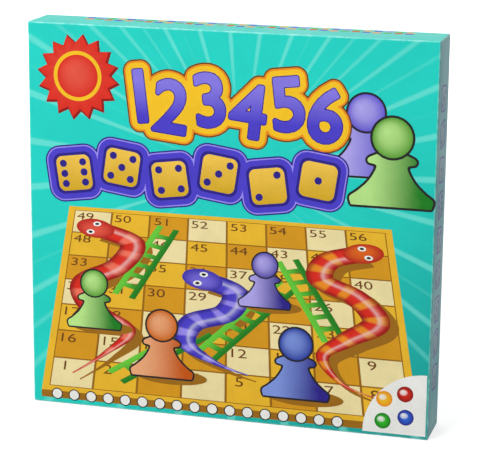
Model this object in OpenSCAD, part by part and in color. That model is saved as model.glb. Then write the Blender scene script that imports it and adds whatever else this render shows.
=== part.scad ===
// Boxed snakes and ladders game, standing on its lower side.
// Sizes in millimetres, origin at the middle of the lower side, front toward -Y, +Z up.

/* [Box] */
// overall width of the closed box
box_w = 380; // [376:1:420]
// overall height of the closed box
box_h = 363; // [355:1:400]
// overall depth of the closed box
box_d = 51; // [50:0.5:60]
// thickness of the greyboard
board_t = 2; // [1.5:0.1:2.4]
// thickness of the printed wrap paper
wrap_t = 0.3; // [0.2:0.05:0.5]
// depth of wrap turned in over a rim
hem = 15; // [8:1:20]
// tray left showing behind the lid
skirt_gap = 3; // [1:0.5:8]
// clearance between lid and tray on each side
lid_fit = 0.7; // [0.4:0.1:1.2]

/* [Insert] */
// thickness of the insert's card
insert_t = 1.5; // [1:0.1:2]
// clearance between insert and tray on each side
insert_fit = 0.5; // [0.3:0.1:1.5]
// clearance between a piece and the divider that it stands on
seat_gap = 0.5; // [0.3:0.1:0.8]
// land between a piece and the next piece or divider
land = 5; // [3:0.5:6]
// free depth between the leaflet and the lid
head_room = 1.1; // [0.6:0.1:2]
// room over the ladders in their compartment
ladder_room = 15; // [12:0.5:20]

/* [Playing board] */
// clearance between playing board and tray on each side
play_fit = 1; // [0.5:0.1:3]
// thickness of the playing board
play_t = 2.2; // [1.5:0.1:2.8]
// thickness of the printed sheet on the playing board
sheet_t = 0.3; // [0.2:0.05:0.5]

/* [Leaflet] */
// width of the folded leaflet
leaf_w = 148; // [105:1:200]
// height of the folded leaflet
leaf_h = 210; // [148:1:297]
// thickness of one leaf
leaf_t = 0.3; // [0.2:0.05:0.4]
// space between the two leaves
leaf_gap = 0.2; // [0.1:0.05:0.3]

/* [Slides] */
// width of a chute
chute_width = 26; // [22:0.5:28]
// height of a chute
chute_h = 17; // [14:0.5:22]
// wall of a chute
chute_t = 2; // [1.5:0.1:3]
// depth of the socket that takes the tower
socket_d = 6; // [4:0.5:9]
// clearance between socket and tower
socket_fit = 0.2; // [0.1:0.05:0.4]
// straight run out of the head
head_run = 24; // [22:0.5:28]
// straight run at the tail
tail_run = 18; // [8:1:22]
// bend radius of the curved slide
curved_bend = 64; // [62:0.5:66]
// bend radius of the S slides
s_bend = 26; // [22:0.5:27]
// bend radius of the zigzag slide
zigzag_bend = 24; // [20:0.5:27]
// room left between the curved slide and the S slides
side_room = 26.1; // [16:0.1:40]
// least room over the slides above the shelf
s_room = 6; // [4:0.5:30]
// least room over the zigzag slide
zigzag_room = 6; // [4:0.5:15]

/* [Ladders] */
// width of a ladder
ladder_w = 24; // [20:0.5:27]
// length of a ladder
ladder_l = 160; // [120:1:175]
// height of the ladder sides
ladder_h = 9; // [6:0.5:14]
// wall of a ladder
ladder_t = 2; // [1.5:0.1:3]
// number of rungs
rung_n = 9; // [5:1:12]
// width of a rung
rung_w = 3; // [2:0.25:5]
// height of a rung
rung_h = 1.5; // [1:0.25:3]

/* [Supports] */
// radius of a support foot
foot_r = 14; // [10:0.5:15]
// thickness of a support foot
foot_t = 3; // [2:0.25:4]
// radius of a support post
post_r = 6; // [4:0.25:9]
// room over a support
support_room = 5; // [2:0.5:10]
// depth of the saddle
saddle_d = 14; // [10:0.5:16]
// thickness of the saddle
saddle_t = 2.5; // [2:0.25:3.5]
// height of the saddle lugs
lug_h = 6; // [4:0.5:7]
// clearance of a ladder in its saddle
saddle_fit = 0.3; // [0.2:0.05:0.6]

/* [Tower] */
// room over the lying tower
tower_room = 4.5; // [2.5:0.5:8]
// wall of the tower
tower_t = 2; // [1.5:0.1:3]
// height of the tower
tower_h = 84; // [70:1:95]
// width of the flange around the tower
flange_w = 2; // [1:0.25:3]
// thickness of the flange
flange_t = 3; // [2:0.25:5]

/* [Wheel] */
// room between the wheel and the curved slide
wheel_room = 10; // [8:0.1:13]
// room between the wheel and the shelf
wheel_gap = 1.2; // [0.8:0.1:2]
// height of the wheel rim
rim_h = 14; // [12:0.5:16]
// wall of the wheel
wheel_t = 2.5; // [1.5:0.1:3]
// number of windows
window_n = 8; // [6:1:10]
// land inside and outside a window
window_edge = 2; // [1.5:0.25:3]
// width of a spoke
spoke_w = 6; // [4:0.5:8]
// radius of the wheel hub
hub_r = 13; // [10:0.5:15]
// height of the hub above the wheel
hub_h = 3; // [2:0.25:4]
// radius of the grip
grip_r = 5.5; // [5:0.25:7]
// room over the grip of the wheel
grip_room = 3.5; // [2.5:0.5:8]
// radius of the spindle
spindle_r = 3.2; // [2.5:0.1:3.6]
// thickness of the wheel base
base_t = 2.5; // [2:0.25:4]
// running clearance of wheel on spindle
spin_fit = 0.08; // [0.04:0.01:0.1]
// clearance between wheel and its base
spin_gap = 0.8; // [0.5:0.1:1.2]

/* [Steps] */
// radius of the cup
cup_r = 13; // [11:0.5:15]
// height of the cup
cup_h = 26; // [22:0.5:30]
// wall of the cup
cup_t = 2; // [1.5:0.1:3]
// length of one step
step_l = 15; // [10:0.5:18]
// rise of one step
step_h = 8; // [6:0.5:9]

/* [Counters] */
// radius of a counter base
counter_r = 11.5; // [10:0.25:12.5]
// height of a counter base
counter_h = 5; // [3:0.25:7]
// width of the rim around the dome
counter_rim = 1.2; // [0.8:0.1:2]
// wall of the dome
dome_t = 1.2; // [0.8:0.1:1.6]

/* [Die] */
// edge of the die
die_a = 16; // [12:0.5:18]
// radius of a pip
pip_r = 1.5; // [1:0.1:1.8]

/* [Hidden] */
$fn = 64;

// wall of a wrapped side: greyboard, wrap and turned-in wrap
side_t = board_t + 2 * wrap_t;
lid_d = box_d - skirt_gap;
tray_w = box_w - 2 * side_t - 2 * lid_fit;
tray_h = box_h - 2 * side_t - 2 * lid_fit;
tray_d = box_d - wrap_t - board_t;
floor_z = wrap_t + board_t;
inner_w = tray_w - 2 * side_t;
inner_h = tray_h - 2 * side_t;
leaflet_t = 2 * leaf_t + leaf_gap;
insert_w = inner_w - 2 * insert_fit;
insert_v = inner_h - 2 * insert_fit;
insert_h = tray_d - floor_z - play_t - sheet_t - leaflet_t - head_room;
play_z = floor_z + insert_h;

// inside of the insert's frame
in_u = insert_w / 2 - insert_t;
in_v = insert_v / 2 - insert_t;
room_h = insert_h - insert_t;

// tower, support post and wheel, each as high as the insert less its room
flange_r = (room_h - tower_room) / 2;
tower_r = flange_r - flange_w;
post_h = room_h - support_room - foot_t - saddle_t - lug_h;
grip_h = room_h - grip_room - rim_h;
spindle_h = rim_h + grip_h - 2 * grip_r;
head_r = tower_r + socket_fit + chute_t;
slide_h = chute_h + socket_d;

// heights of the compartments below and above the shelf
low_h = ladder_l + ladder_room;
high_h = 2 * in_v - low_h - insert_t;

// slides, as large as the compartments and their rooms let them be
fit_u = (2 * in_u - 3 * head_r - insert_t - 3 * land - side_room) /
  (2 * curved_bend + 1.5 * chute_width + 2 * head_run + 2 * s_bend);
fit_curved = (high_h - head_r - 2 * seat_gap - s_room) / (head_run + curved_bend + chute_width / 2);
fit_high = (high_h - head_r - 2 * seat_gap - s_room) / (4 * s_bend + chute_width / 2);
fit_low = (low_h - head_r - seat_gap - zigzag_room) / (head_run + 4 * zigzag_bend + tail_run);
curved_fit = min(fit_u, fit_curved);
slide_fit = min(fit_u, fit_high, fit_low);
chute_w = chute_width * slide_fit;
run_in = head_run * slide_fit;
run_out = tail_run * slide_fit;
curved_r = curved_bend * curved_fit;
curved_in = head_run * curved_fit;
s_r = s_bend * slide_fit;
zigzag_r = zigzag_bend * slide_fit;
curved_path = [[curved_in, 0], [curved_r, 180], [run_out, 0]];
s_left_path = [[run_in, 0], [s_r, 180], [s_r, -180], [run_out, 0]];
s_right_path = [[run_in, 0], [s_r, -180], [s_r, 180], [run_out, 0]];
zigzag_path = [[run_in, 0], [zigzag_r, 90], [zigzag_r, -180], [zigzag_r, 90], [run_out, 0]];
wheel_r = curved_r - chute_w / 2 - wheel_room;
plate_r = wheel_r - wheel_t - spin_gap;

// above the shelf
low_v = -in_v + seat_gap;
shelf_v = -in_v + low_h;
high_v = shelf_v + insert_t + seat_gap;
curved_at = [-in_u + land + curved_r + chute_w / 2, high_v + head_r + curved_in];
wheel_at = [curved_at[0], high_v + wheel_gap + wheel_r];
s_span = head_r + run_in + s_r + chute_w / 2;
s_v = high_v + head_r;
s_right_u = in_u - land - head_r;
s_left_u = in_u - 2 * land - 2 * s_span + head_r;
curved_side = curved_at[0] + curved_r + head_r;
slides_u = (curved_side + s_left_u - head_r - insert_t) / 2;

// below the shelf
ladder_pitch = ladder_w + land;
ladder_u = -in_u + land + ladder_w / 2;
ladders_u = -in_u + 3 * ladder_pitch + land;
column_u = ladders_u + insert_t + land;
counter_v = low_v + counter_r;
counter_pitch = 2 * counter_r + land;
row_low_v = counter_v + counter_r + land;
saddle_w = ladder_w + 2 * saddle_fit + 2 * saddle_t;
support_r = max(foot_r, norm([saddle_w, saddle_d]) / 2);
support_v = row_low_v + insert_t + seat_gap + support_r;
support_pitch = 2 * support_r + land;
row_middle_v = support_v + support_r + land;
steps_v = row_middle_v + insert_t + seat_gap + cup_r;
row_high_v = steps_v + cup_r + land;
tower_v = row_high_v + insert_t + seat_gap + flange_r;
die_at = [column_u + tower_h + land + die_a / 2, row_high_v + insert_t + seat_gap + die_a / 2];
zigzag_at = [in_u - land - head_r, low_v + head_r];
column_side = column_u + max(4 * counter_pitch, 3 * support_pitch, tower_h + die_a + 2 * land) - land;
zigzag_u = (column_side + zigzag_at[0] - 2 * zigzag_r - chute_w / 2 - insert_t) / 2;

dome_r = counter_r - counter_rim;

// stands the box up from lying on its back
module upright() {
  translate([0, box_d / 2, box_h / 2]) rotate([90, 0, 0]) children();
}

// frame of the insert, on the floor of the tray
module inside() {
  upright() translate([0, 0, floor_z]) children();
}

// frame of the pieces, on the floor of the insert
module on_floor() {
  inside() translate([0, 0, insert_t]) children();
}

module block(w, h, z0, z1) {
  translate([-w / 2, -h / 2, z0]) cube([w, h, z1 - z0]);
}

// greyboard of an open box, floor down
module shell(w, h, d) {
  difference() {
    block(w - 2 * wrap_t, h - 2 * wrap_t, wrap_t, d - wrap_t);
    block(w - 2 * wrap_t - 2 * board_t, h - 2 * wrap_t - 2 * board_t, floor_z, d);
  }
}

// wrap around an open box, turned in over its rim
module wrap(w, h, d) {
  difference() {
    block(w, h, 0, d);
    block(w - 2 * wrap_t, h - 2 * wrap_t, wrap_t, d - wrap_t);
    block(w - 2 * side_t, h - 2 * side_t, d - 2 * wrap_t, d + 1);
  }
  difference() {
    block(w - 2 * side_t + 2 * wrap_t, h - 2 * side_t + 2 * wrap_t, d - hem, d);
    block(w - 2 * side_t, h - 2 * side_t, d - hem - 1, d + 1);
  }
}

module over_tray() {
  upright() translate([0, 0, box_d]) rotate([180, 0, 0]) children();
}

module lid_shell() {
  color("tan") over_tray() shell(box_w, box_h, lid_d);
}

module lid_wrap() {
  color("turquoise") over_tray() wrap(box_w, box_h, lid_d);
}

module tray_shell() {
  color("tan") upright() shell(tray_w, tray_h, tray_d);
}

module tray_wrap() {
  color("darkcyan") upright() wrap(tray_w, tray_h, tray_d);
}

// sweeps the child's section along a path of [length, 0] and [radius, angle] steps
module run(path, i = 0) {
  if (i < len(path)) {
    reach = path[i][0];
    turn = path[i][1];
    if (turn == 0) {
      translate([0, reach, 0]) rotate([90, 0, 0]) linear_extrude(reach) children();
      translate([0, reach, 0]) run(path, i + 1) children();
    } else {
      side = sign(turn);
      mirror([side < 0 ? 1 : 0, 0, 0]) translate([-reach, 0, 0])
        rotate_extrude(angle = abs(turn)) translate([reach, 0]) children();
      translate([-side * reach, 0, 0]) rotate(turn) translate([side * reach, 0, 0]) run(path, i + 1) children();
    }
  }
}

module chute_outside() {
  intersection() {
    translate([-chute_w / 2, 0]) square([chute_w, chute_h]);
    union() {
      translate([0, chute_w / 2]) circle(chute_w / 2);
      translate([-chute_w / 2, chute_w / 2]) square([chute_w, chute_h]);
    }
  }
}

module chute_inside() {
  translate([0, chute_w / 2]) circle(chute_w / 2 - chute_t);
  translate([chute_t - chute_w / 2, chute_w / 2]) square([chute_w - 2 * chute_t, chute_h]);
}

module slide(path) {
  difference() {
    union() {
      run(path) chute_outside();
      translate([0, 0, -socket_d]) cylinder(r = head_r, h = slide_h);
    }
    translate([0, 0, chute_t]) cylinder(r = head_r - chute_t, h = chute_h);
    translate([0, 0, -socket_d - 1]) cylinder(r = tower_r + socket_fit, h = socket_d + 1);
    run(concat(path, [[1, 0]])) chute_inside();
  }
}

module at_curved() {
  translate(curved_at) translate([curved_r, -curved_in, 0]) children();
}

module at_s_left() {
  translate([s_left_u, s_v, 0]) rotate(-90) children();
}

module at_s_right() {
  translate([s_right_u, s_v, 0]) rotate(90) children();
}

module at_zigzag() {
  translate(zigzag_at) children();
}

module at_ladder(k) {
  translate([ladder_u + k * ladder_pitch, low_v, 0]) children();
}

module at_support(k) {
  translate([column_u + support_r + k * support_pitch, support_v, 0]) children();
}

module at_steps() {
  translate([column_u + cup_r, steps_v, 0]) children();
}

module at_tower() {
  translate([column_u, tower_v, 0]) children();
}

module at_counter(k) {
  translate([column_u + counter_r + k * counter_pitch, counter_v, 0]) children();
}

module at_die() {
  translate(die_at) children();
}

module ladder_plan(g) {
  translate([0, ladder_w / 2]) circle(ladder_w / 2 + g);
  translate([-ladder_w / 2 - g, ladder_w / 2]) square([ladder_w + 2 * g, ladder_l - ladder_w / 2 + max(g, 0)]);
}

module insert_floor() {
  color("ivory") inside() block(insert_w, insert_v, 0, insert_t);
}

module insert_frame() {
  color("ivory") inside() difference() {
    block(insert_w, insert_v, insert_t, insert_h);
    block(2 * in_u, 2 * in_v, insert_t - 1, insert_h + 1);
  }
}

// divider between two corners, from the insert's floor to its top
module divider(u0, v0, u1, v1) {
  color("ivory") on_floor() translate([u0, v0, 0]) cube([u1 - u0, v1 - v0, room_h]);
}

module shelf() {
  divider(-in_u, shelf_v, in_u, shelf_v + insert_t);
}

module divider_slides() {
  divider(slides_u, shelf_v + insert_t, slides_u + insert_t, in_v);
}

module divider_ladders() {
  divider(ladders_u, -in_v, ladders_u + insert_t, shelf_v);
}

module divider_zigzag() {
  divider(zigzag_u, -in_v, zigzag_u + insert_t, shelf_v);
}

module row(v) {
  divider(ladders_u + insert_t, v, zigzag_u, v + insert_t);
}

module row_low() {
  row(row_low_v);
}

module row_middle() {
  row(row_middle_v);
}

module row_high() {
  row(row_high_v);
}

module board_core() {
  color("tan") upright() block(inner_w - 2 * play_fit, inner_h - 2 * play_fit, play_z, play_z + play_t);
}

module board_print() {
  color("gold") upright()
    block(inner_w - 2 * play_fit, inner_h - 2 * play_fit, play_z + play_t, play_z + play_t + sheet_t);
}

module leaflet() {
  z = play_z + play_t + sheet_t;
  color("white") upright() difference() {
    block(leaf_w, leaf_h, z, z + leaflet_t);
    translate([leaf_t, 0, 0]) block(leaf_w, leaf_h + 2, z + leaf_t, z + leaf_t + leaf_gap);
  }
}

module slide_curved() {
  color("red") on_floor() at_curved() translate([0, 0, socket_d]) slide(curved_path);
}

module slide_zigzag() {
  color("red") on_floor() at_zigzag() translate([0, 0, socket_d]) slide(zigzag_path);
}

module slide_s_left() {
  color("red") on_floor() at_s_left() translate([0, 0, socket_d]) slide(s_left_path);
}

module slide_s_right() {
  color("red") on_floor() at_s_right() translate([0, 0, socket_d]) slide(s_right_path);
}

module ladder(k) {
  step = (ladder_l - ladder_w) / rung_n;
  color("limegreen") on_floor() at_ladder(k) {
    difference() {
      linear_extrude(ladder_h) ladder_plan(0);
      translate([0, 0, ladder_t]) linear_extrude(ladder_h) union() {
        ladder_plan(-ladder_t);
        translate([ladder_t - ladder_w / 2, ladder_l - 1]) square([ladder_w - 2 * ladder_t, 2]);
      }
    }
    for (i = [0:rung_n - 1]) translate([ladder_t - ladder_w / 2, ladder_w / 2 + (i + 0.5) * step, ladder_t])
      cube([ladder_w - 2 * ladder_t, rung_w, rung_h]);
  }
}

module ladder_left() {
  ladder(0);
}

module ladder_middle() {
  ladder(1);
}

module ladder_right() {
  ladder(2);
}

module support(k) {
  top = foot_t + post_h;
  color("blueviolet") on_floor() at_support(k) {
    cylinder(r = foot_r, h = foot_t);
    cylinder(r = post_r, h = top);
    block(saddle_w, saddle_d, top, top + saddle_t);
    for (side = [-1, 1]) translate([side * (saddle_w - saddle_t) / 2, 0, 0])
      block(saddle_t, saddle_d, top, top + saddle_t + lug_h);
  }
}

module support_left() {
  support(0);
}

module support_middle() {
  support(1);
}

module support_right() {
  support(2);
}

module tower() {
  color("blueviolet") on_floor() at_tower() translate([0, 0, flange_r]) rotate([0, 90, 0]) difference() {
    union() {
      cylinder(r = tower_r, h = tower_h);
      cylinder(r = flange_r, h = flange_t);
    }
    translate([0, 0, -1]) cylinder(r = tower_r - tower_t, h = tower_h + 2);
  }
}

module wheel_base() {
  color("mediumpurple") on_floor() translate(wheel_at) {
    cylinder(r = plate_r, h = base_t);
    cylinder(r = spindle_r, h = base_t + spindle_h);
  }
}

module wheel() {
  low = base_t + spin_gap;
  pitch = 360 / window_n;
  middle = (wheel_r - wheel_t + hub_r) / 2;
  open_a = pitch - 2 * asin(spoke_w / 2 / middle);
  color("blueviolet") on_floor() translate(wheel_at) difference() {
    union() {
      difference() {
        translate([0, 0, spin_gap]) cylinder(r = wheel_r, h = rim_h - spin_gap);
        cylinder(r = wheel_r - wheel_t, h = rim_h - wheel_t);
      }
      translate([0, 0, low]) cylinder(r = grip_r + wheel_t, h = rim_h - low);
      translate([0, 0, rim_h - wheel_t]) cylinder(r = hub_r, h = hub_h + wheel_t);
      translate([0, 0, low]) cylinder(r = grip_r, h = rim_h + grip_h - grip_r - low);
      translate([0, 0, rim_h + grip_h - grip_r]) sphere(grip_r);
    }
    cylinder(r = spindle_r + spin_fit, h = base_t + spindle_h + spin_gap);
    for (k = [0:window_n - 1]) rotate(k * pitch) rotate_extrude(angle = open_a)
      translate([hub_r + window_edge, rim_h - wheel_t - 1])
        square([wheel_r - wheel_t - hub_r - 2 * window_edge, wheel_t + 2]);
  }
}

module steps() {
  color("blueviolet") on_floor() at_steps() difference() {
    union() {
      cylinder(r = cup_r, h = cup_h);
      for (k = [1:2]) translate([0, -cup_r, 0]) cube([cup_r + k * step_l, 2 * cup_r, (3 - k) * step_h]);
    }
    translate([0, 0, cup_t]) cylinder(r = cup_r - cup_t, h = cup_h);
  }
}

module counter(k, shade) {
  color(shade) on_floor() at_counter(k) {
    cylinder(r = counter_r, h = counter_h / 2);
    cylinder(r = dome_r, h = counter_h);
  }
}

module counter_red() {
  counter(0, "red");
}

module counter_yellow() {
  counter(1, "yellow");
}

module counter_blue() {
  counter(2, "blue");
}

module counter_green() {
  counter(3, "green");
}

module dome(k) {
  color("aliceblue") on_floor() at_counter(k) translate([0, 0, counter_h]) difference() {
    sphere(dome_r);
    sphere(dome_r - dome_t);
    translate([0, 0, -dome_r]) cube([3 * dome_r, 3 * dome_r, 2 * dome_r], center = true);
  }
}

module dome_red() {
  dome(0);
}

module dome_yellow() {
  dome(1);
}

module dome_blue() {
  dome(2);
}

module dome_green() {
  dome(3);
}

// places of n pips on one face, in quarters of the edge
function pips(n) = concat(
  n % 2 == 1 ? [[0, 0]] : [],
  n > 1 ? [[-1, -1], [1, 1]] : [],
  n > 3 ? [[-1, 1], [1, -1]] : [],
  n == 6 ? [[-1, 0], [1, 0]] : []);

module die() {
  faces = [[0, 0, 0], [90, 0, 0], [0, 90, 0], [0, -90, 0], [-90, 0, 0], [180, 0, 0]];
  color("white") on_floor() at_die() translate([0, 0, die_a / 2]) difference() {
    intersection() {
      cube(die_a, center = true);
      sphere(die_a * 0.72);
    }
    for (f = [0:5]) rotate(faces[f]) for (p = pips(f + 1))
      translate([p[0] * die_a / 4, p[1] * die_a / 4, die_a / 2]) sphere(pip_r);
  }
}

lid_shell();
lid_wrap();
tray_shell();
tray_wrap();
insert_floor();
insert_frame();
shelf();
divider_slides();
divider_ladders();
divider_zigzag();
row_low();
row_middle();
row_high();
board_core();
board_print();
leaflet();
slide_curved();
slide_zigzag();
slide_s_left();
slide_s_right();
ladder_left();
ladder_middle();
ladder_right();
support_left();
support_middle();
support_right();
tower();
wheel_base();
wheel();
steps();
counter_red();
counter_yellow();
counter_blue();
counter_green();
dome_red();
dome_yellow();
dome_blue();
dome_green();
die();
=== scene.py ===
"""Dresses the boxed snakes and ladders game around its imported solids.

The lid and the tray get their wrapped and printed form, the playing board and the leaflet their print,
and the card insert and the plastic pieces their finishes. Sizes on a printed face are in millimetres.
"""

from __future__ import annotations

import logging
import math
from collections.abc import Callable, Iterable, Sequence
from dataclasses import dataclass, field
from enum import Enum
from itertools import pairwise

import bmesh
import bpy
import numpy as np
from mathutils import Matrix, Vector
from mathutils.geometry import tessellate_polygon

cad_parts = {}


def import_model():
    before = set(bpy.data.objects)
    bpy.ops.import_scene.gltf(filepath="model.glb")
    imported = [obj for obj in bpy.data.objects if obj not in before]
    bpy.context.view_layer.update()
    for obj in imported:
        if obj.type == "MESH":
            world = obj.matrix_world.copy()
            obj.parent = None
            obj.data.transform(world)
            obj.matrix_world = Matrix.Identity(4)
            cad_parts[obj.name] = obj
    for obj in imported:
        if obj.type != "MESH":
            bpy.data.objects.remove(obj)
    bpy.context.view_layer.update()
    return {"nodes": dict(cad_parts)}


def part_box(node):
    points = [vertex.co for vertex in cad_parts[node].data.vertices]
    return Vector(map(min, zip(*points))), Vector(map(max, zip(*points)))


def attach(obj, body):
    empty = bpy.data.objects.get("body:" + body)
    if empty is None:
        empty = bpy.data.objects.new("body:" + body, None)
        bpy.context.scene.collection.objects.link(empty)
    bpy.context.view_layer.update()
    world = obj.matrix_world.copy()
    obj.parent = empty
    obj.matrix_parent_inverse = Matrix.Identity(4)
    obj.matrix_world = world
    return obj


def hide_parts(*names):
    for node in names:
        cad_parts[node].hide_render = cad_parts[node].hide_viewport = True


LOG = logging.getLogger("game_box")
MM = 0.001
PHOTO_W = 480
INK = "ink"
# Values that a noise texture mostly stays between.
NOISE_RANGE = (0.3, 0.7)
# Signs of each corner of a rectangle, and the angle at which its round starts.
QUARTERS = ((1, 1, 0), (-1, 1, 90), (-1, -1, 180), (1, -1, 270))
X_AXIS, Y_AXIS, Z_AXIS = (Vector(axis) for axis in ((1, 0, 0), (0, 1, 0), (0, 0, 1)))

Colour = tuple[float, float, float]
Point = tuple[float, float]
Segment = tuple[Point, Point]
Shade = Callable[[float, float], Colour]
Warp = Callable[[float, float], Point]
Socket = bpy.types.NodeSocket
Piece = bpy.types.Object
Mesh = bpy.types.Mesh


def linear(code: str) -> Colour:
    """Turns a six-digit screen colour into linear light.

    Args:
        code: red, green and blue as two hexadecimal digits each.

    Returns:
        The three linear values.
    """
    parts = [int(code[i : i + 2], 16) / 255 for i in (0, 2, 4)]
    red, green, blue = (c / 12.92 if c <= 0.04045 else ((c + 0.055) / 1.055) ** 2.4 for c in parts)
    return red, green, blue


class Ink(Enum):
    """Colours of the print, as they look on screen."""

    TURQUOISE = "1fd0c2"
    DEEP = "159a95"
    RAY = "7fe8dc"
    CREAM = "f3e3a8"
    GOLD = "eebb2f"
    AMBER = "d99a1c"
    BROWN = "6b3f12"
    VIOLET = "4b3fc9"
    INDIGO = "2a1f86"
    LILAC = "9a8cf0"
    RED = "dd2a1b"
    MAROON = "8c1410"
    CORAL = "f4745c"
    GREEN = "35c02a"
    FOREST = "177a1c"
    LIME = "a8e85a"
    YELLOW = "f9c623"
    ORANGE = "ef8f1f"
    RUST = "c4560c"
    BLUE = "2f6fe0"
    STEEL = "5c8f9e"
    SKY = "8fd0f0"
    WHITE = "f4f4f0"
    BLACK = "1c1a1e"
    GREY = "9aa0a0"

    @property
    def light(self) -> Colour:
        """The colour in linear light."""
        return linear(self.value)


def blend(a: Colour, b: Colour, share: float) -> Colour:
    """The colour that lies the given share of the way from a to b."""
    return tuple(x + (y - x) * share for x, y in zip(a, b))


SHADOW = blend(Ink.BROWN.light, Ink.AMBER.light, 0.35)
# Body, bands and sides of a snake.
RED_SNAKE = (Ink.RED, Ink.CORAL, Ink.MAROON)
VIOLET_SNAKE = (Ink.VIOLET, Ink.LILAC, Ink.INDIGO)


class Graph:
    """Adds nodes to a shader or geometry tree and links them."""

    def __init__(self, tree: bpy.types.NodeTree) -> None:
        """Keeps the tree that the nodes go into."""
        self.tree = tree

    def add(self, kind: str, inputs: dict | None = None, **settings: object) -> bpy.types.Node:
        """Adds one node.

        Args:
            kind: Blender's name of the node type.
            inputs: value or socket for each input, by name or number.
            **settings: properties of the node itself.

        Returns:
            The new node.
        """
        node = self.tree.nodes.new(kind)
        for key, value in settings.items():
            setattr(node, key, value)
        for key, value in (inputs or {}).items():
            if isinstance(value, Socket):
                self.tree.links.new(value, node.inputs[key])
            else:
                node.inputs[key].default_value = value
        return node

    def out(self, kind: str, inputs: dict | None = None, **settings: object) -> Socket:
        """Adds one node and returns its first output."""
        return self.add(kind, inputs, **settings).outputs[0]

    def math(self, operation: str, *values: object) -> Socket:
        """Adds a Math node and returns its result."""
        return self.out("ShaderNodeMath", dict(enumerate(values)), operation=operation)

    def ramp(self, value: object, low: float, high: float, to: Point = (0.0, 1.0)) -> Socket:
        """Maps low..high smoothly onto the two values of to and returns the result."""
        places = {"Value": value, "From Min": low, "From Max": high, "To Min": to[0], "To Max": to[1]}
        return self.out("ShaderNodeMapRange", places, interpolation_type="SMOOTHSTEP")

    def mix(self, share: object, a: object, b: object, mode: str = "MIX") -> Socket:
        """Lays that share of b over a, each a socket or a linear colour, and returns the result."""
        places = {0: share, 6: full(a), 7: full(b)}
        return self.add("ShaderNodeMix", places, data_type="RGBA", blend_type=mode).outputs[2]

    def noise(self, coords: object, scale: float, detail: float = 2.0) -> Socket:
        """Adds a noise texture of that many cells a metre and returns its value."""
        places = {"Vector": coords, "Scale": scale, "Detail": detail}
        return self.out("ShaderNodeTexNoise", places)

    def cloud(self, coords: object, scale: float, strength: float, detail: float = 2.0) -> Socket:
        """Adds soft patches of that many cells a metre and returns their value, from zero to the strength."""
        return self.ramp(self.noise(coords, scale, detail), *NOISE_RANGE, (0.0, strength))

    def shown(self) -> Socket:
        """Tells the rays that show something apart from those that light it.

        Returns:
            One for a ray from the camera, off gloss or through a clear surface, else zero.
        """
        path = self.add("ShaderNodeLightPath").outputs
        direct = self.math("MAXIMUM", path["Is Camera Ray"], path["Is Glossy Ray"])
        return self.math("MAXIMUM", direct, path["Is Transmission Ray"])


def full(colour: object) -> object:
    """A linear colour with its alpha, or the socket as it is."""
    return (*colour, 1.0) if isinstance(colour, tuple) and len(colour) == 3 else colour


@dataclass(frozen=True)
class Finish:
    """A surface made of shader nodes, with its own roughness and relief.

    Attributes:
        name: name of the material.
        rough: lowest and highest roughness.
        relief: strength of the bump.
        grain: cells of the bump in one metre.
        coat: weight of the clear coat.
    """

    PATCH = 40  # cells of the bump across one patch of roughness
    BUMP = 0.0004  # height of the bump in metres
    COAT_ROUGH = 0.08  # roughness of the clear coat

    name: str
    rough: Point = (0.3, 0.4)
    relief: float = 0.05
    grain: float = 2500.0
    coat: float = 0.0

    def colour(self, graph: Graph, coords: Socket) -> Socket:
        """Builds the base colour and returns its socket."""
        raise NotImplementedError

    def tune(self, shader: bpy.types.Node) -> None:
        """Sets what is the same all over the surface."""
        shader.inputs["Coat Weight"].default_value = self.coat
        shader.inputs["Coat Roughness"].default_value = self.COAT_ROUGH

    def material(self) -> bpy.types.Material:
        """Makes the material once and returns it.

        Returns:
            The material.
        """
        known = bpy.data.materials.get(self.name)
        if known:
            return known
        made = bpy.data.materials.new(self.name)
        made.use_nodes = True
        made.node_tree.nodes.clear()
        graph = Graph(made.node_tree)
        coords = graph.add("ShaderNodeTexCoord").outputs["Object"]
        patches = graph.noise(coords, self.grain / self.PATCH, detail=3.0)
        rough = graph.ramp(patches, *NOISE_RANGE, self.rough)
        height = graph.noise(coords, self.grain, detail=3.0)
        bump = graph.add("ShaderNodeBump", {"Strength": self.relief, "Distance": self.BUMP, "Height": height})
        places = {"Base Color": self.colour(graph, coords), "Roughness": rough, "Normal": bump.outputs[0]}
        shader = graph.add("ShaderNodeBsdfPrincipled", places)
        self.tune(shader)
        graph.add("ShaderNodeOutputMaterial", {"Surface": shader.outputs[0]})
        return made


@dataclass(frozen=True)
class LaminatedFinish(Finish):
    """Print under a thin laminate.

    Attributes:
        shine: strength of its reflection.
    """

    rough: Point = (0.38, 0.48)
    relief: float = 0.02
    grain: float = 500.0
    shine: float = 0.15

    def tune(self, shader: bpy.types.Node) -> None:
        """Sets how strongly it reflects."""
        super().tune(shader)
        shader.inputs["Specular IOR Level"].default_value = self.shine


@dataclass(frozen=True)
class PrintFinish(LaminatedFinish):
    """Laminated print, coloured by the ink stored in the mesh."""

    def colour(self, graph: Graph, coords: Socket) -> Socket:
        """Ink with the faint mottling of offset print.

        Args:
            graph: adds the nodes.
            coords: socket of the object coordinates.

        Returns:
            Socket of the colour.
        """
        ink = graph.add("ShaderNodeAttribute", attribute_name=INK).outputs["Color"]
        speck = graph.cloud(coords, scale=1500.0, strength=0.12, detail=1.0)
        cloud = graph.cloud(coords, scale=60.0, strength=0.1)
        dark = graph.mix(speck, ink, Ink.BLACK.light, "MULTIPLY")
        return graph.mix(cloud, dark, Ink.GREY.light, "MULTIPLY")


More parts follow.
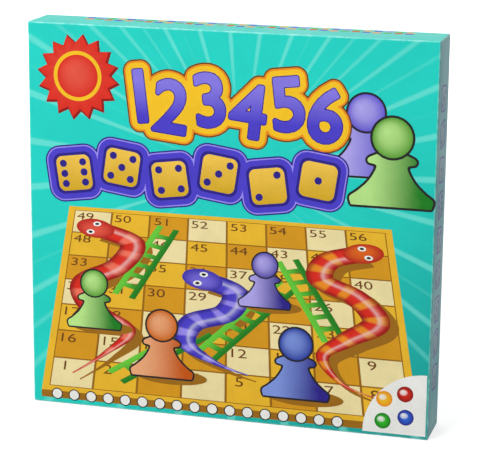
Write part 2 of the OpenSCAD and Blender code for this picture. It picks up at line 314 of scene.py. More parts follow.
@dataclass(frozen=True)
class GroundFinish(LaminatedFinish):
    """Plain ground of the box print: a graded colour with thin rays on its front, a darker right side that is
    painted shade, and rubbed edges whose pale line is partly a painted highlight.

    Attributes:
        pale: colour of most of the ground.
        deep: colour of its darker corner.
        half_w: half the width of the box in metres.
        height: height of the box in metres.
        face_y: place of the printed face along Y.
        inward: +1 if the box lies behind that face along Y, -1 if before it.
        burst: X and Z of the point that the rays leave.
        rays: strength of the rays.
        side: colour of its right side, darker as painted shade.
    """

    FALL = 2.2  # how much the height counts in the grading, against the width
    GRADE = (-1.0, 1.1)  # grading at which the ground is pale and deep
    FRONT = (0.0012, 0.0004)  # depth at which the rays end and begin
    SIDE = (0.001, 0.0006)  # distance from the right at which the painted shade of the right side begins and is full
    WEAR_AND_HIGHLIGHT = (0.002, 0.0006)  # distance from an edge at which the rubbing and painted highlight begin and are full
    RUBBED_AND_HIGHLIGHT = 0.75  # strength of the rubbing and painted highlight
    FINE = 58.0  # waves of the thin rays in one radian
    BROAD = 31.0  # waves that make them uneven
    LAG = 0.8  # where those waves start, in radians
    UNEVEN = 0.35  # their height
    EDGE = (0.62, 1.25)  # height of the waves at which a ray begins and is full
    REACH = (0.03, 0.12)  # distance from the middle at which the rays begin and are full

    pale: Colour = Ink.TURQUOISE.light
    deep: Colour = Ink.DEEP.light
    half_w: float = 0.19
    height: float = 0.363
    face_y: float = -0.0255
    inward: float = 1.0
    burst: Point = (0.012, 0.236)
    rays: float = 0.5
    # Painted shade: a darker teal on the right side stands in for the shade that falls there.
    side: Colour = linear("1d838a")

    def colour(self, graph: Graph, coords: Socket) -> Socket:
        """Graded ground, rays, a painted shade on the right side, and rubbed edges that are partly a painted
        highlight.

        Args:
            graph: adds the nodes.
            coords: socket of the object coordinates.

        Returns:
            Socket of the colour.
        """
        x, y, z = graph.add("ShaderNodeSeparateXYZ", {0: coords}).outputs
        across = graph.math("MULTIPLY", x, 1 / self.half_w)
        slope = graph.math("SUBTRACT", across, graph.math("MULTIPLY", z, self.FALL / self.height))
        ground = graph.mix(graph.ramp(slope, *self.GRADE), self.pale, self.deep)
        ground = graph.mix(graph.cloud(coords, scale=25.0, strength=0.12), ground, self.deep)
        depth = graph.math("MULTIPLY", graph.math("SUBTRACT", y, self.face_y), self.inward)
        front = graph.math("MULTIPLY", graph.ramp(depth, *self.FRONT), self.rays)
        lit = graph.mix(graph.math("MULTIPLY", self._rays(graph, x, z), front), ground, Ink.RAY.light)
        # Painted shade: the right side is mixed towards that darker colour.
        right = graph.ramp(x, *(self.half_w - away for away in self.SIDE))
        shaded = graph.mix(right, lit, self.side)
        # Paler rubbed edges, partly wear of the paper and partly a painted highlight along the rounded edges.
        patchy = graph.ramp(graph.noise(coords, scale=180.0, detail=4.0), low=0.35, high=0.7, to=(0.35, 1.0))
        worn_and_highlight = graph.math("MULTIPLY", self._edges(graph, x, depth, z), patchy)
        bare_and_highlight = blend(Ink.RAY.light, Ink.WHITE.light, 0.35)
        return graph.mix(graph.math("MULTIPLY", worn_and_highlight, self.RUBBED_AND_HIGHLIGHT), shaded, bare_and_highlight)

    def _rays(self, graph: Graph, x: Socket, z: Socket) -> Socket:
        """Thin uneven rays out of one point, fading near it.

        Args:
            graph: adds the nodes.
            x: socket of the place across.
            z: socket of the height.

        Returns:
            Socket of their strength.
        """
        across = graph.math("SUBTRACT", x, self.burst[0])
        up = graph.math("SUBTRACT", z, self.burst[1])
        angle = graph.math("ARCTAN2", up, across)
        fine = graph.math("SINE", graph.math("MULTIPLY", angle, self.FINE))
        broad = graph.math("SINE", graph.math("MULTIPLY_ADD", angle, self.BROAD, self.LAG))
        wave = graph.math("MULTIPLY_ADD", broad, self.UNEVEN, fine)
        squares = [graph.math("MULTIPLY", step, step) for step in (across, up)]
        reach = graph.math("SQRT", graph.math("ADD", *squares))
        return graph.math("MULTIPLY", graph.ramp(wave, *self.EDGE), graph.ramp(reach, *self.REACH))

    def _edges(self, graph: Graph, x: Socket, depth: Socket, z: Socket) -> Socket:
        """One along the edges of the box, zero two millimetres from them: where the rubbing and painted
        highlight lie.

        Args:
            graph: adds the nodes.
            x: socket of the place across.
            depth: socket of the depth behind the face.
            z: socket of the height.

        Returns:
            Socket of that value.
        """
        side = graph.math("SUBTRACT", self.half_w, graph.math("ABSOLUTE", x))
        end = graph.math("MINIMUM", z, graph.math("SUBTRACT", self.height, z))
        small = graph.math("MINIMUM", side, end)
        large = graph.math("MAXIMUM", side, end)
        near = graph.math("MAXIMUM", small, graph.math("MINIMUM", large, depth))
        return graph.ramp(near, *self.WEAR_AND_HIGHLIGHT)


@dataclass(frozen=True)
class PlasticFinish(Finish):
    """Moulded plastic with a faint orange peel and flow marks.

    Attributes:
        tint: colour of the plastic.
        glow: share of light that scatters under the surface.
    """

    MARK = 0.72  # brightness of a flow mark
    DEPTH = 0.002  # how far light goes under the surface, in metres

    tint: Colour = Ink.RED.light
    rough: Point = (0.2, 0.32)
    relief: float = 0.06
    grain: float = 900.0
    coat: float = 0.2
    glow: float = 0.08

    def colour(self, graph: Graph, coords: Socket) -> Socket:
        """Tint with slow flow marks and fine specks.

        Args:
            graph: adds the nodes.
            coords: socket of the object coordinates.

        Returns:
            Socket of the colour.
        """
        flow = graph.cloud(coords, scale=30.0, strength=0.22, detail=3.0)
        shade = graph.mix(flow, self.tint, tuple(c * self.MARK for c in self.tint))
        grains = graph.noise(coords, scale=1200.0, detail=2.0)
        speck = graph.ramp(grains, low=0.62, high=0.75, to=(0.0, 0.12))
        return graph.mix(speck, shade, blend(self.tint, Ink.WHITE.light, 0.4))

    def tune(self, shader: bpy.types.Node) -> None:
        """Sets the coat and the light under the surface.

        Args:
            shader: node that shades the surface.
        """
        super().tune(shader)
        shader.inputs["Subsurface Weight"].default_value = self.glow
        shader.inputs["Subsurface Radius"].default_value = tuple(max(c, 0.05) for c in self.tint)
        shader.inputs["Subsurface Scale"].default_value = self.DEPTH


@dataclass(frozen=True)
class ClearFinish(Finish):
    """Clear moulded plastic."""

    TINT = (0.97, 0.985, 0.99)
    BEND = 1.49  # index of refraction

    rough: Point = (0.02, 0.07)
    relief: float = 0.02
    grain: float = 700.0

    def colour(self, graph: Graph, coords: Socket) -> Socket:
        """Nearly white, with a faint cloud."""
        cloud = graph.cloud(coords, scale=90.0, strength=0.1)
        return graph.mix(cloud, self.TINT, Ink.SKY.light)

    def tune(self, shader: bpy.types.Node) -> None:
        """Lets light through."""
        shader.inputs["Transmission Weight"].default_value = 1.0
        shader.inputs["IOR"].default_value = self.BEND


@dataclass(frozen=True)
class CardFinish(Finish):
    """Board or paper with its fibres showing.

    Attributes:
        tint: colour of the pulp.
        fibre: colour of the flecks in it.
        flecks: how strongly the flecks show.
    """

    DRAWN = (1.0, 1.0, 3.5)  # how close the flecks lie along each axis

    rough: Point = (0.75, 0.9)
    relief: float = 0.25
    grain: float = 1800.0
    tint: Colour = linear("b3a58f")
    fibre: Colour = linear("7d715f")
    flecks: float = 0.5

    def colour(self, graph: Graph, coords: Socket) -> Socket:
        """Pulp with drawn-out flecks and slow clouds.

        Args:
            graph: adds the nodes.
            coords: socket of the object coordinates.

        Returns:
            Socket of the colour.
        """
        drawn = graph.out("ShaderNodeMapping", {"Vector": coords, "Scale": self.DRAWN})
        fibres = graph.noise(drawn, scale=650.0, detail=4.0)
        fleck = graph.ramp(fibres, low=0.52, high=0.70, to=(0.0, self.flecks))
        cloud = graph.cloud(coords, scale=45.0, strength=0.18, detail=3.0)
        pulp = graph.mix(cloud, self.tint, self.fibre)
        return graph.mix(fleck, pulp, self.fibre)


class Finishes:
    """Every finish of the object."""

    GREYBOARD = CardFinish("greyboard")
    CARD = CardFinish("insert_card", tint=linear("e9e4d6"), fibre=linear("c2b9a4"), flecks=0.35, relief=0.15)
    PAPER = CardFinish(
        "leaflet_paper", tint=linear("f3f1ea"), fibre=linear("d9d5c8"), flecks=0.2, relief=0.08, grain=2600.0
    )
    PRINT = PrintFinish("laminated_print")
    LID = GroundFinish("lid_ground")
    TRAY = GroundFinish(
        "tray_ground",
        pale=linear("1bb3ab"),
        deep=linear("128783"),
        half_w=0.1867,
        face_y=0.0255,
        inward=-1.0,
        rays=0.25,
    )
    RED = PlasticFinish("red_plastic", tint=linear("d9241a"))
    GREEN = PlasticFinish("green_plastic", tint=linear("35bd28"))
    VIOLET = PlasticFinish("violet_plastic", tint=linear("473bc8"))
    YELLOW = PlasticFinish("yellow_plastic", tint=linear("f4c321"))
    BLUE = PlasticFinish("blue_plastic", tint=linear("2766dc"))
    IVORY = PlasticFinish("die_plastic", tint=linear("efece2"), glow=0.2)
    PIP = PlasticFinish("pip_paint", tint=linear("201d22"), rough=(0.35, 0.5), coat=0.0, glow=0.0)
    CLEAR = ClearFinish("clear_plastic")


def publish(piece: Piece, body: str, slot: str, *nodes: str) -> None:
    """Hangs a finished piece on its body, hides the CAD nodes that it replaces and logs it.

    Args:
        piece: object at the origin with its place in its mesh.
        body: CAD body that it moves with.
        slot: not used.
        *nodes: CAD nodes that it replaces.
    """
    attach(piece, body)
    if nodes:
        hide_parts(*nodes)
    LOG.info("%s on %s, %d faces", piece.name, body, len(piece.data.polygons))


def place(name: str, data: bpy.types.ID) -> Piece:
    """Links data into the scene as an object of that name.

    Args:
        name: name of the object.
        data: its mesh, text, camera or light.

    Returns:
        The object.
    """
    made = bpy.data.objects.new(name, data)
    bpy.context.scene.collection.objects.link(made)
    return made


def baked(source: Piece) -> Mesh:
    """Turns a scratch object with its modifiers into a plain mesh and removes the object.

    Args:
        source: the scratch object.

    Returns:
        The mesh.
    """
    graph = bpy.context.evaluated_depsgraph_get()
    mesh = bpy.data.meshes.new_from_object(source.evaluated_get(graph))
    data = source.data
    bpy.data.objects.remove(source)
    if data.users == 0 and isinstance(data, Mesh):
        bpy.data.meshes.remove(data)
    return mesh


class Shape:
    """A Geometry Nodes tree with named inputs, run on a scratch object."""

    def __init__(self, name: str) -> None:
        """Starts an empty tree with a geometry input.

        Args:
            name: name of the tree.
        """
        self.tree = bpy.data.node_groups.new(name, "GeometryNodeTree")
        self.graph = Graph(self.tree)
        self.tree.interface.new_socket("Geometry", in_out="INPUT", socket_type="NodeSocketGeometry")
        self.tree.interface.new_socket("Geometry", in_out="OUTPUT", socket_type="NodeSocketGeometry")
        self.source = self.tree.nodes.new("NodeGroupInput")

    def input(self, label: str, kind: str = "Float") -> Socket:
        """Adds a named input of that socket type and returns its socket inside the tree."""
        self.tree.interface.new_socket(label, in_out="INPUT", socket_type=f"NodeSocket{kind}")
        return self.source.outputs[label]

    def vector(self, x: object = 0.0, y: object = 0.0, z: object = 0.0) -> Socket:
        """Joins three values into a vector."""
        return self.graph.out("ShaderNodeCombineXYZ", {0: x, 1: y, 2: z})

    def store(
        self, geometry: object, label: str, value: object, kind: str = "FLOAT", domain: str = "POINT"
    ) -> Socket:
        """Stores a value under a name, in Blender's data type and domain, and returns the geometry."""
        places = {"Geometry": geometry, "Name": label, "Value": value}
        return self.graph.out("GeometryNodeStoreNamedAttribute", places, data_type=kind, domain=domain)

    def close(self, geometry: object, finish: Finish) -> None:
        """Ends the tree in real geometry with its material.

        Args:
            geometry: socket of the geometry.
            finish: its surface.
        """
        solid = self.graph.out("GeometryNodeRealizeInstances", {0: geometry})
        dressed = self.graph.out(
            "GeometryNodeSetMaterial", {"Geometry": solid, "Material": finish.material()}
        )
        self.graph.add("NodeGroupOutput", {0: dressed})

    def run(self, points: Sequence[Sequence[float]] = (), chain: bool = False, **values: object) -> Mesh:
        """Runs the tree.

        Args:
            points: vertices of the mesh that goes in.
            chain: whether edges join them in a row.
            **values: value of each named input, with _ for a space.

        Returns:
            The result as a plain mesh.
        """
        mesh = bpy.data.meshes.new("scratch")
        edges = list(pairwise(range(len(points)))) if chain else []
        mesh.from_pydata([tuple(p)[:3] + (0.0,) * (3 - len(p)) for p in points], edges, [])
        scratch = place("scratch", mesh)
        modifier = scratch.modifiers.new("shape", "NODES")
        modifier.node_group = self.tree
        for item in self.tree.interface.items_tree:
            key = item.name.replace(" ", "_").lower()
            if item.in_out == "INPUT" and key in values:
                value = values[key]
                modifier[item.identifier] = full(value) if isinstance(value, tuple) else value
        return baked(scratch)


class Shapes:
    """The trees of the repeated and winding parts of the print and of the pips."""

    def __init__(self) -> None:
        """Builds every tree."""
        self.grid = self._grid()
        self.ladder = self._ladder()
        self.snake = self._snake()
        self.dots = self._dots()

    @staticmethod
    def _grid() -> Shape:
        """Cells of a board in three colours, with a gap between them.

        Returns:
            The tree.
        """
        shape = Shape("board_cells")
        graph = shape.graph
        columns, rows = shape.input("Columns", "Int"), shape.input("Rows", "Int")
        width, height, gap = shape.input("Width"), shape.input("Height"), shape.input("Gap")
        inks = [shape.input(f"Ink {n}", "Color") for n in (1, 2, 3)]
        places = {"Size X": width, "Size Y": height}
        places["Vertices X"] = graph.math("ADD", columns, 1.0)
        places["Vertices Y"] = graph.math("ADD", rows, 1.0)
        sheet = graph.add("GeometryNodeMeshGrid", places).outputs["Mesh"]
        apart = graph.add("ShaderNodeSeparateXYZ", {0: graph.out("GeometryNodeInputPosition")})
        axes = ((apart.outputs[0], width, columns), (apart.outputs[1], height, rows))
        shares = [graph.math("ADD", graph.math("DIVIDE", at, size), 0.5) for at, size, _ in axes]
        scaled = [graph.math("MULTIPLY", share, count) for share, (_, _, count) in zip(shares, axes)]
        column, row = (graph.math("FLOOR", at) for at in scaled)
        kind = graph.math("MODULO", graph.math("MULTIPLY_ADD", row, 2.0, column), 3.0)
        first = graph.mix(graph.math("GREATER_THAN", kind, 0.5), inks[0], inks[1])
        tone = graph.mix(graph.math("GREATER_THAN", kind, 1.5), first, inks[2])
        inked = shape.store(sheet, INK, tone, "FLOAT_COLOR", "FACE")
        loose = graph.out("GeometryNodeSplitEdges", {0: inked})
        scale = graph.math("SUBTRACT", 1.0, gap)
        cells = graph.out("GeometryNodeScaleElements", {"Geometry": loose, "Scale": scale}, domain="FACE")
        lift = shape.vector(0.0, graph.math("MULTIPLY", height, 0.5))
        raised = graph.out("GeometryNodeSetPosition", {"Geometry": cells, "Offset": lift})
        shape.close(raised, Finishes.PRINT)
        return shape

    @staticmethod
    def _ladder() -> Shape:
        """A ladder that climbs along Y from the origin.

        Returns:
            The tree.
        """
        shape = Shape("printed_ladder")
        graph = shape.graph
        length, width, rail = shape.input("Length"), shape.input("Width"), shape.input("Rail")
        rungs, rung = shape.input("Rungs", "Int"), shape.input("Rung")
        light, dark = shape.input("Light", "Color"), shape.input("Dark", "Color")
        middle = graph.math("MULTIPLY", length, 0.5)
        side = graph.math("MULTIPLY", graph.math("SUBTRACT", width, rail), 0.5)
        bar = graph.add(
            "GeometryNodeMeshGrid", {"Size X": rail, "Size Y": length, "Vertices X": 3, "Vertices Y": 24}
        ).outputs["Mesh"]
        places = [shape.vector(at, middle) for at in (side, graph.math("MULTIPLY", side, -1.0))]
        rails = [graph.out("GeometryNodeTransform", {"Geometry": bar, "Translation": at}) for at in places]
        step = graph.math("DIVIDE", length, graph.math("ADD", rungs, 1.0))
        ends = {"Count": rungs, "Start Location": shape.vector(0.0, step), "Offset": shape.vector(0.0, step)}
        line = graph.out("GeometryNodeMeshLine", ends)
        tread = graph.add(
            "GeometryNodeMeshGrid", {"Size X": width, "Size Y": rung, "Vertices X": 6, "Vertices Y": 3}
        ).outputs["Mesh"]
        treads = graph.out("GeometryNodeInstanceOnPoints", {"Points": line, "Instance": tread})
        solid = graph.out("GeometryNodeRealizeInstances", {0: treads})
        lower = graph.out(
            "GeometryNodeSetPosition", {"Geometry": solid, "Offset": shape.vector(0.0, 0.0, -1.0)}
        )
        joined = graph.add("GeometryNodeJoinGeometry")
        for part in (lower, *rails):
            shape.tree.links.new(part, joined.inputs[0])
        apart = graph.add("ShaderNodeSeparateXYZ", {0: graph.out("GeometryNodeInputPosition")})
        share = graph.ramp(graph.math("DIVIDE", apart.outputs[0], width), low=-0.5, high=0.5)
        inked = shape.store(joined.outputs[0], INK, graph.mix(share, light, dark), "FLOAT_COLOR")
        shape.close(inked, Finishes.PRINT)
        return shape

    @staticmethod
    def _snake() -> Shape:
        """A snake along a chain of points from its head, banded and darker at its sides.

        Returns:
            The tree.
        """
        shape = Shape("printed_snake")
        graph = shape.graph
        width, bands = shape.input("Width"), shape.input("Bands")
        body, band, rim = (shape.input(label, "Color") for label in ("Body", "Band", "Rim"))
        strength = shape.input("Gleam")
        curve = graph.out("GeometryNodeMeshToCurve", {0: shape.source.outputs["Geometry"]})
        upright = graph.out("GeometryNodeSetCurveNormal", {0: curve}, mode="Z_UP")
        along = graph.add("GeometryNodeSplineParameter").outputs["Factor"]
        kept = shape.store(upright, "along", along)
        taper = graph.ramp(along, low=0.45, high=1.0, to=(0.5, 0.03))
        radius = graph.math("MULTIPLY", width, taper)
        sized = graph.out("GeometryNodeSetCurveRadius", {"Curve": kept, "Radius": radius})
        line = graph.out(
            "GeometryNodeCurvePrimitiveLine", {"Start": (-1.0, 0.0, 0.0), "End": (1.0, 0.0, 0.0)}
        )
        fine = graph.out("GeometryNodeResampleCurve", {"Curve": line, "Count": 9})
        profile = shape.store(fine, "across", graph.add("GeometryNodeSplineParameter").outputs["Factor"])
        swept = {"Curve": sized, "Profile Curve": profile, "Scale": graph.out("GeometryNodeInputRadius")}
        ribbon = graph.out("GeometryNodeCurveToMesh", swept)
        read = {
            name: graph.out("GeometryNodeInputNamedAttribute", {"Name": name}, data_type="FLOAT")
            for name in ("along", "across")
        }
        stripe = graph.math(
            "SINE", graph.math("MULTIPLY", graph.math("MULTIPLY", read["along"], bands), math.tau)
        )
        banded = graph.mix(graph.ramp(stripe, low=0.1, high=0.5), body, band)
        off = graph.math("ABSOLUTE", graph.math("SUBTRACT", read["across"], 0.5))
        edged = graph.mix(graph.ramp(off, low=0.22, high=0.5), banded, rim)
        streak = graph.math("ABSOLUTE", graph.math("SUBTRACT", read["across"], 0.36))
        shine = graph.math("MULTIPLY", graph.ramp(streak, low=0.16, high=0.0), strength)
        lit = graph.mix(shine, edged, Ink.WHITE.light)
        shape.close(shape.store(ribbon, INK, lit, "FLOAT_COLOR"), Finishes.PRINT)
        return shape

    @staticmethod
    def _dots() -> Shape:
        """A filled disc on each point, facing along Z turned by the named angles.

        Returns:
            The tree.
        """
        shape = Shape("round_dots")
        graph = shape.graph
        radius, turn, ink = shape.input("Radius"), shape.input("Turn", "Vector"), shape.input("Tone", "Color")
        disc = graph.out("GeometryNodeMeshCircle", {"Vertices": 20, "Radius": radius}, fill_type="NGON")
        points = graph.out("GeometryNodeMeshToPoints", {0: shape.source.outputs["Geometry"]})
        spin = graph.out("FunctionNodeEulerToRotation", {0: turn})
        spread = graph.out(
            "GeometryNodeInstanceOnPoints", {"Points": points, "Instance": disc, "Rotation": spin}
        )
        solid = graph.out("GeometryNodeRealizeInstances", {0: spread})
        shape.close(shape.store(solid, INK, ink, "FLOAT_COLOR"), Finishes.PIP)
        return shape


@dataclass(frozen=True)
class Face:
    """A plane that print lies on.

    Attributes:
        origin: point where both coordinates are zero, in metres.
        right: direction of the first coordinate.
        up: direction of the second.
    """

    origin: Vector
    right: Vector
    up: Vector

    def at(self, u: float, v: float, lift: float) -> Vector:
        """The point of the frame at u and v, raised off the plane, all in millimetres."""
        out = self.right.cross(self.up)
        return self.origin + (self.right * u + self.up * v + out * lift) * MM


def circle(
    at: Point, radius: float, sides: int = 32, start: float = 0.0, sweep: float = 360.0, squash: float = 1.0
) -> list[Point]:
    """Points of a circle or an arc.

    Args:
        at: centre.
        radius: radius along the first coordinate.
        sides: number of steps.
        start: angle of the first point in degrees.
        sweep: angle that the points run through.
        squash: height of the circle as a share of its width.

    Returns:
        The points, without a last one that repeats the first.
    """
    count = sides if sweep >= 360 else sides + 1
    turns = [math.radians(start + sweep * i / sides) for i in range(count)]
    return [(at[0] + radius * math.cos(a), at[1] + radius * squash * math.sin(a)) for a in turns]


def rounded(at: Point, width: float, height: float, radius: float, tilt: float = 0.0) -> list[Point]:
    """Outline of a rectangle with round corners, turned about its middle by tilt degrees.

    Args:
        at: middle of the rectangle.
        width: its width.
        height: its height.
        radius: radius of its corners.
        tilt: turn in degrees.

    Returns:
        Points of the outline, anticlockwise.
    """
    flat: list[Point] = []
    for sx, sy, start in QUARTERS:
        flat += circle((sx * (width / 2 - radius), sy * (height / 2 - radius)), radius, 6, start, 90)
    return turned(flat, at, tilt)


def turned(points: Iterable[Point], at: Point, tilt: float, size: float = 1.0) -> list[Point]:
    """Scales points, turns them about the origin by tilt degrees and moves them to a place."""
    c, s = math.cos(math.radians(tilt)) * size, math.sin(math.radians(tilt)) * size
    return [(at[0] + x * c - y * s, at[1] + x * s + y * c) for x, y in points]


def between(a: float, b: float, c: float, d: float, t: float) -> float:
    """Value at share t of the way from b to c, on a smooth line that comes from a and goes on to d."""
    bend, twist = 2 * a - 5 * b + 4 * c - d, 3 * b - a - 3 * c + d
    return 0.5 * (2 * b + (c - a) * t + bend * t * t + twist * t**3)


def winding(points: Sequence[Point], steps: int = 14) -> list[Point]:
    """A smooth line through points, with so many steps between two of them.

    Args:
        points: places that the line goes through.
        steps: steps between two of them.

    Returns:
        Points of the line.
    """
    chain = [points[0], *points, points[-1]]
    line: list[Point] = []
    for p, q, r, s in zip(chain, chain[1:], chain[2:], chain[3:]):
        for i in range(steps):
            t = i / steps
            line.append(tuple(between(*ends, t) for ends in zip(p, q, r, s)))
    return [*line, tuple(points[-1])]


class Glyphs:
    """Plain numerals as flat meshes of height one, made once each."""

    TALL = 0.7  # height of a digit of the font

    def __init__(self) -> None:
        """Starts with no numeral made."""
        self.made: dict[str, tuple[list[Point], list[tuple[int, ...]]]] = {}

    def get(self, text: str) -> tuple[list[Point], list[tuple[int, ...]]]:
        """Gives a number.

        Args:
            text: digits of the number.

        Returns:
            Points about its middle, and faces that face +Z.
        """
        if text not in self.made:
            curve = bpy.data.curves.new("numeral", "FONT")
            curve.body = text
            curve.resolution_u = 5
            mesh = baked(place("numeral", curve))
            xs, ys = [v.co.x for v in mesh.vertices], [v.co.y for v in mesh.vertices]
            cx, cy = (min(xs) + max(xs)) / 2, (min(ys) + max(ys)) / 2
            points = [((x - cx) / self.TALL, (y - cy) / self.TALL) for x, y in zip(xs, ys)]
            faces = [
                tuple(p.vertices) if p.normal.z > 0 else tuple(reversed(p.vertices)) for p in mesh.polygons
            ]
            self.made[text] = (points, faces)
            bpy.data.meshes.remove(mesh)
            bpy.data.curves.remove(curve)
        return self.made[text]

    def sides(self, text: str, at: Point, tilt: float, size: float) -> list[Segment]:
        """Sides of a number's outline, scaled, turned and moved to a place.

        Args:
            text: digits of the number.
            at: its middle.
            tilt: turn in degrees.
            size: its height.

        Returns:
            The sides, with the number to their left.
        """
        points, faces = self.get(text)
        placed = turned(points, at, tilt, size)
        edges = {edge for face in faces for edge in pairwise((*face, face[0]))}
        return [(placed[a], placed[b]) for a, b in sorted(edges) if (b, a) not in edges]


def around(outline: Sequence[Point]) -> list[Segment]:
    """The sides of a closed outline."""
    return list(pairwise((*outline, outline[0])))


def area(outline: Sequence[Point]) -> float:
    """Area of a closed outline, positive if it runs anticlockwise."""
    return sum(a[0] * b[1] - b[0] * a[1] for a, b in around(outline)) / 2


@dataclass(frozen=True)
class Halo:
    """Outlines at a distance round a group of shapes, traced on a grid.

    Attributes:
        sides: sides of all the shapes.
        cell: spacing of the grid.
    """

    sides: Sequence[Segment]
    cell: float = 1.0

    def at(self, distance: float) -> list[list[Point]]:
        """Traces the outlines so far from the sides, with the outer ones anticlockwise.

        Args:
            distance: how far out the outlines lie.

        Returns:
            The outlines.
        """
        ends = np.array([(*a, *b) for a, b in self.sides if a != b])
        margin = distance + 3 * self.cell
        xs = np.arange(ends[:, 0].min() - margin, ends[:, 0].max() + margin, self.cell)
        ys = np.arange(ends[:, 1].min() - margin, ends[:, 1].max() + margin, self.cell)
        gx, gy = np.meshgrid(xs, ys)
        best = np.full(gx.shape, np.inf)
        inside = np.zeros(gx.shape, dtype=bool)
        for x0, y0, x1, y1 in ends:
            dx, dy = x1 - x0, y1 - y0
            along = np.clip(((gx - x0) * dx + (gy - y0) * dy) / (dx * dx + dy * dy), 0.0, 1.0)
            best = np.minimum(best, np.hypot(gx - x0 - along * dx, gy - y0 - along * dy))
            if y0 != y1:
                inside ^= ((gy < y0) != (gy < y1)) & (gx < x0 + (gy - y0) * dx / dy)
        return self._trace(np.where(inside, -best, best) - distance, xs, ys)

    @staticmethod
    def _trace(level: np.ndarray, xs: np.ndarray, ys: np.ndarray) -> list[list[Point]]:
        """Follows the zero line of a field.

        Args:
            level: value at each point of the grid, negative inside.
            xs: first coordinate of its columns.
            ys: second coordinate of its rows.

        Returns:
            Its loops, anticlockwise round an inside.
        """
        low = level < 0
        count = low[:-1, :-1].astype(int) + low[1:, :-1] + low[:-1, 1:] + low[1:, 1:]
        link: dict[tuple, tuple] = {}
        spot: dict[tuple, Point] = {}
        for j, i in zip(*(c.tolist() for c in np.nonzero((count > 0) & (count < 4)))):
            ring = [(i, j), (i + 1, j), (i + 1, j + 1), (i, j + 1)]
            turns = []
            for a, b in zip(ring, ring[1:] + ring[:1]):
                at_a, at_b = level[a[1], a[0]], level[b[1], b[0]]
                if (at_a < 0) != (at_b < 0):
                    share = at_a / (at_a - at_b)
                    key = (min(a, b), max(a, b))
                    x = xs[a[0]] + (xs[b[0]] - xs[a[0]]) * share
                    y = ys[a[1]] + (ys[b[1]] - ys[a[1]]) * share
                    spot[key] = (float(x), float(y))
                    turns.append((key, at_a < 0))
            for k, (key, leaving) in enumerate(turns):
                if leaving:
                    link[key] = turns[(k + 1) % len(turns)][0]
        loops = []
        while link:
            first, key = link.popitem()
            loop = [first]
            while key != first:
                loop.append(key)
                key = link.pop(key)
            loops.append([spot[k] for k in loop])
        return loops

    def outer(self, distance: float) -> list[list[Point]]:
        """The outlines so far out, without those round a hole."""
        return [loop for loop in self.at(distance) if area(loop) > 0]


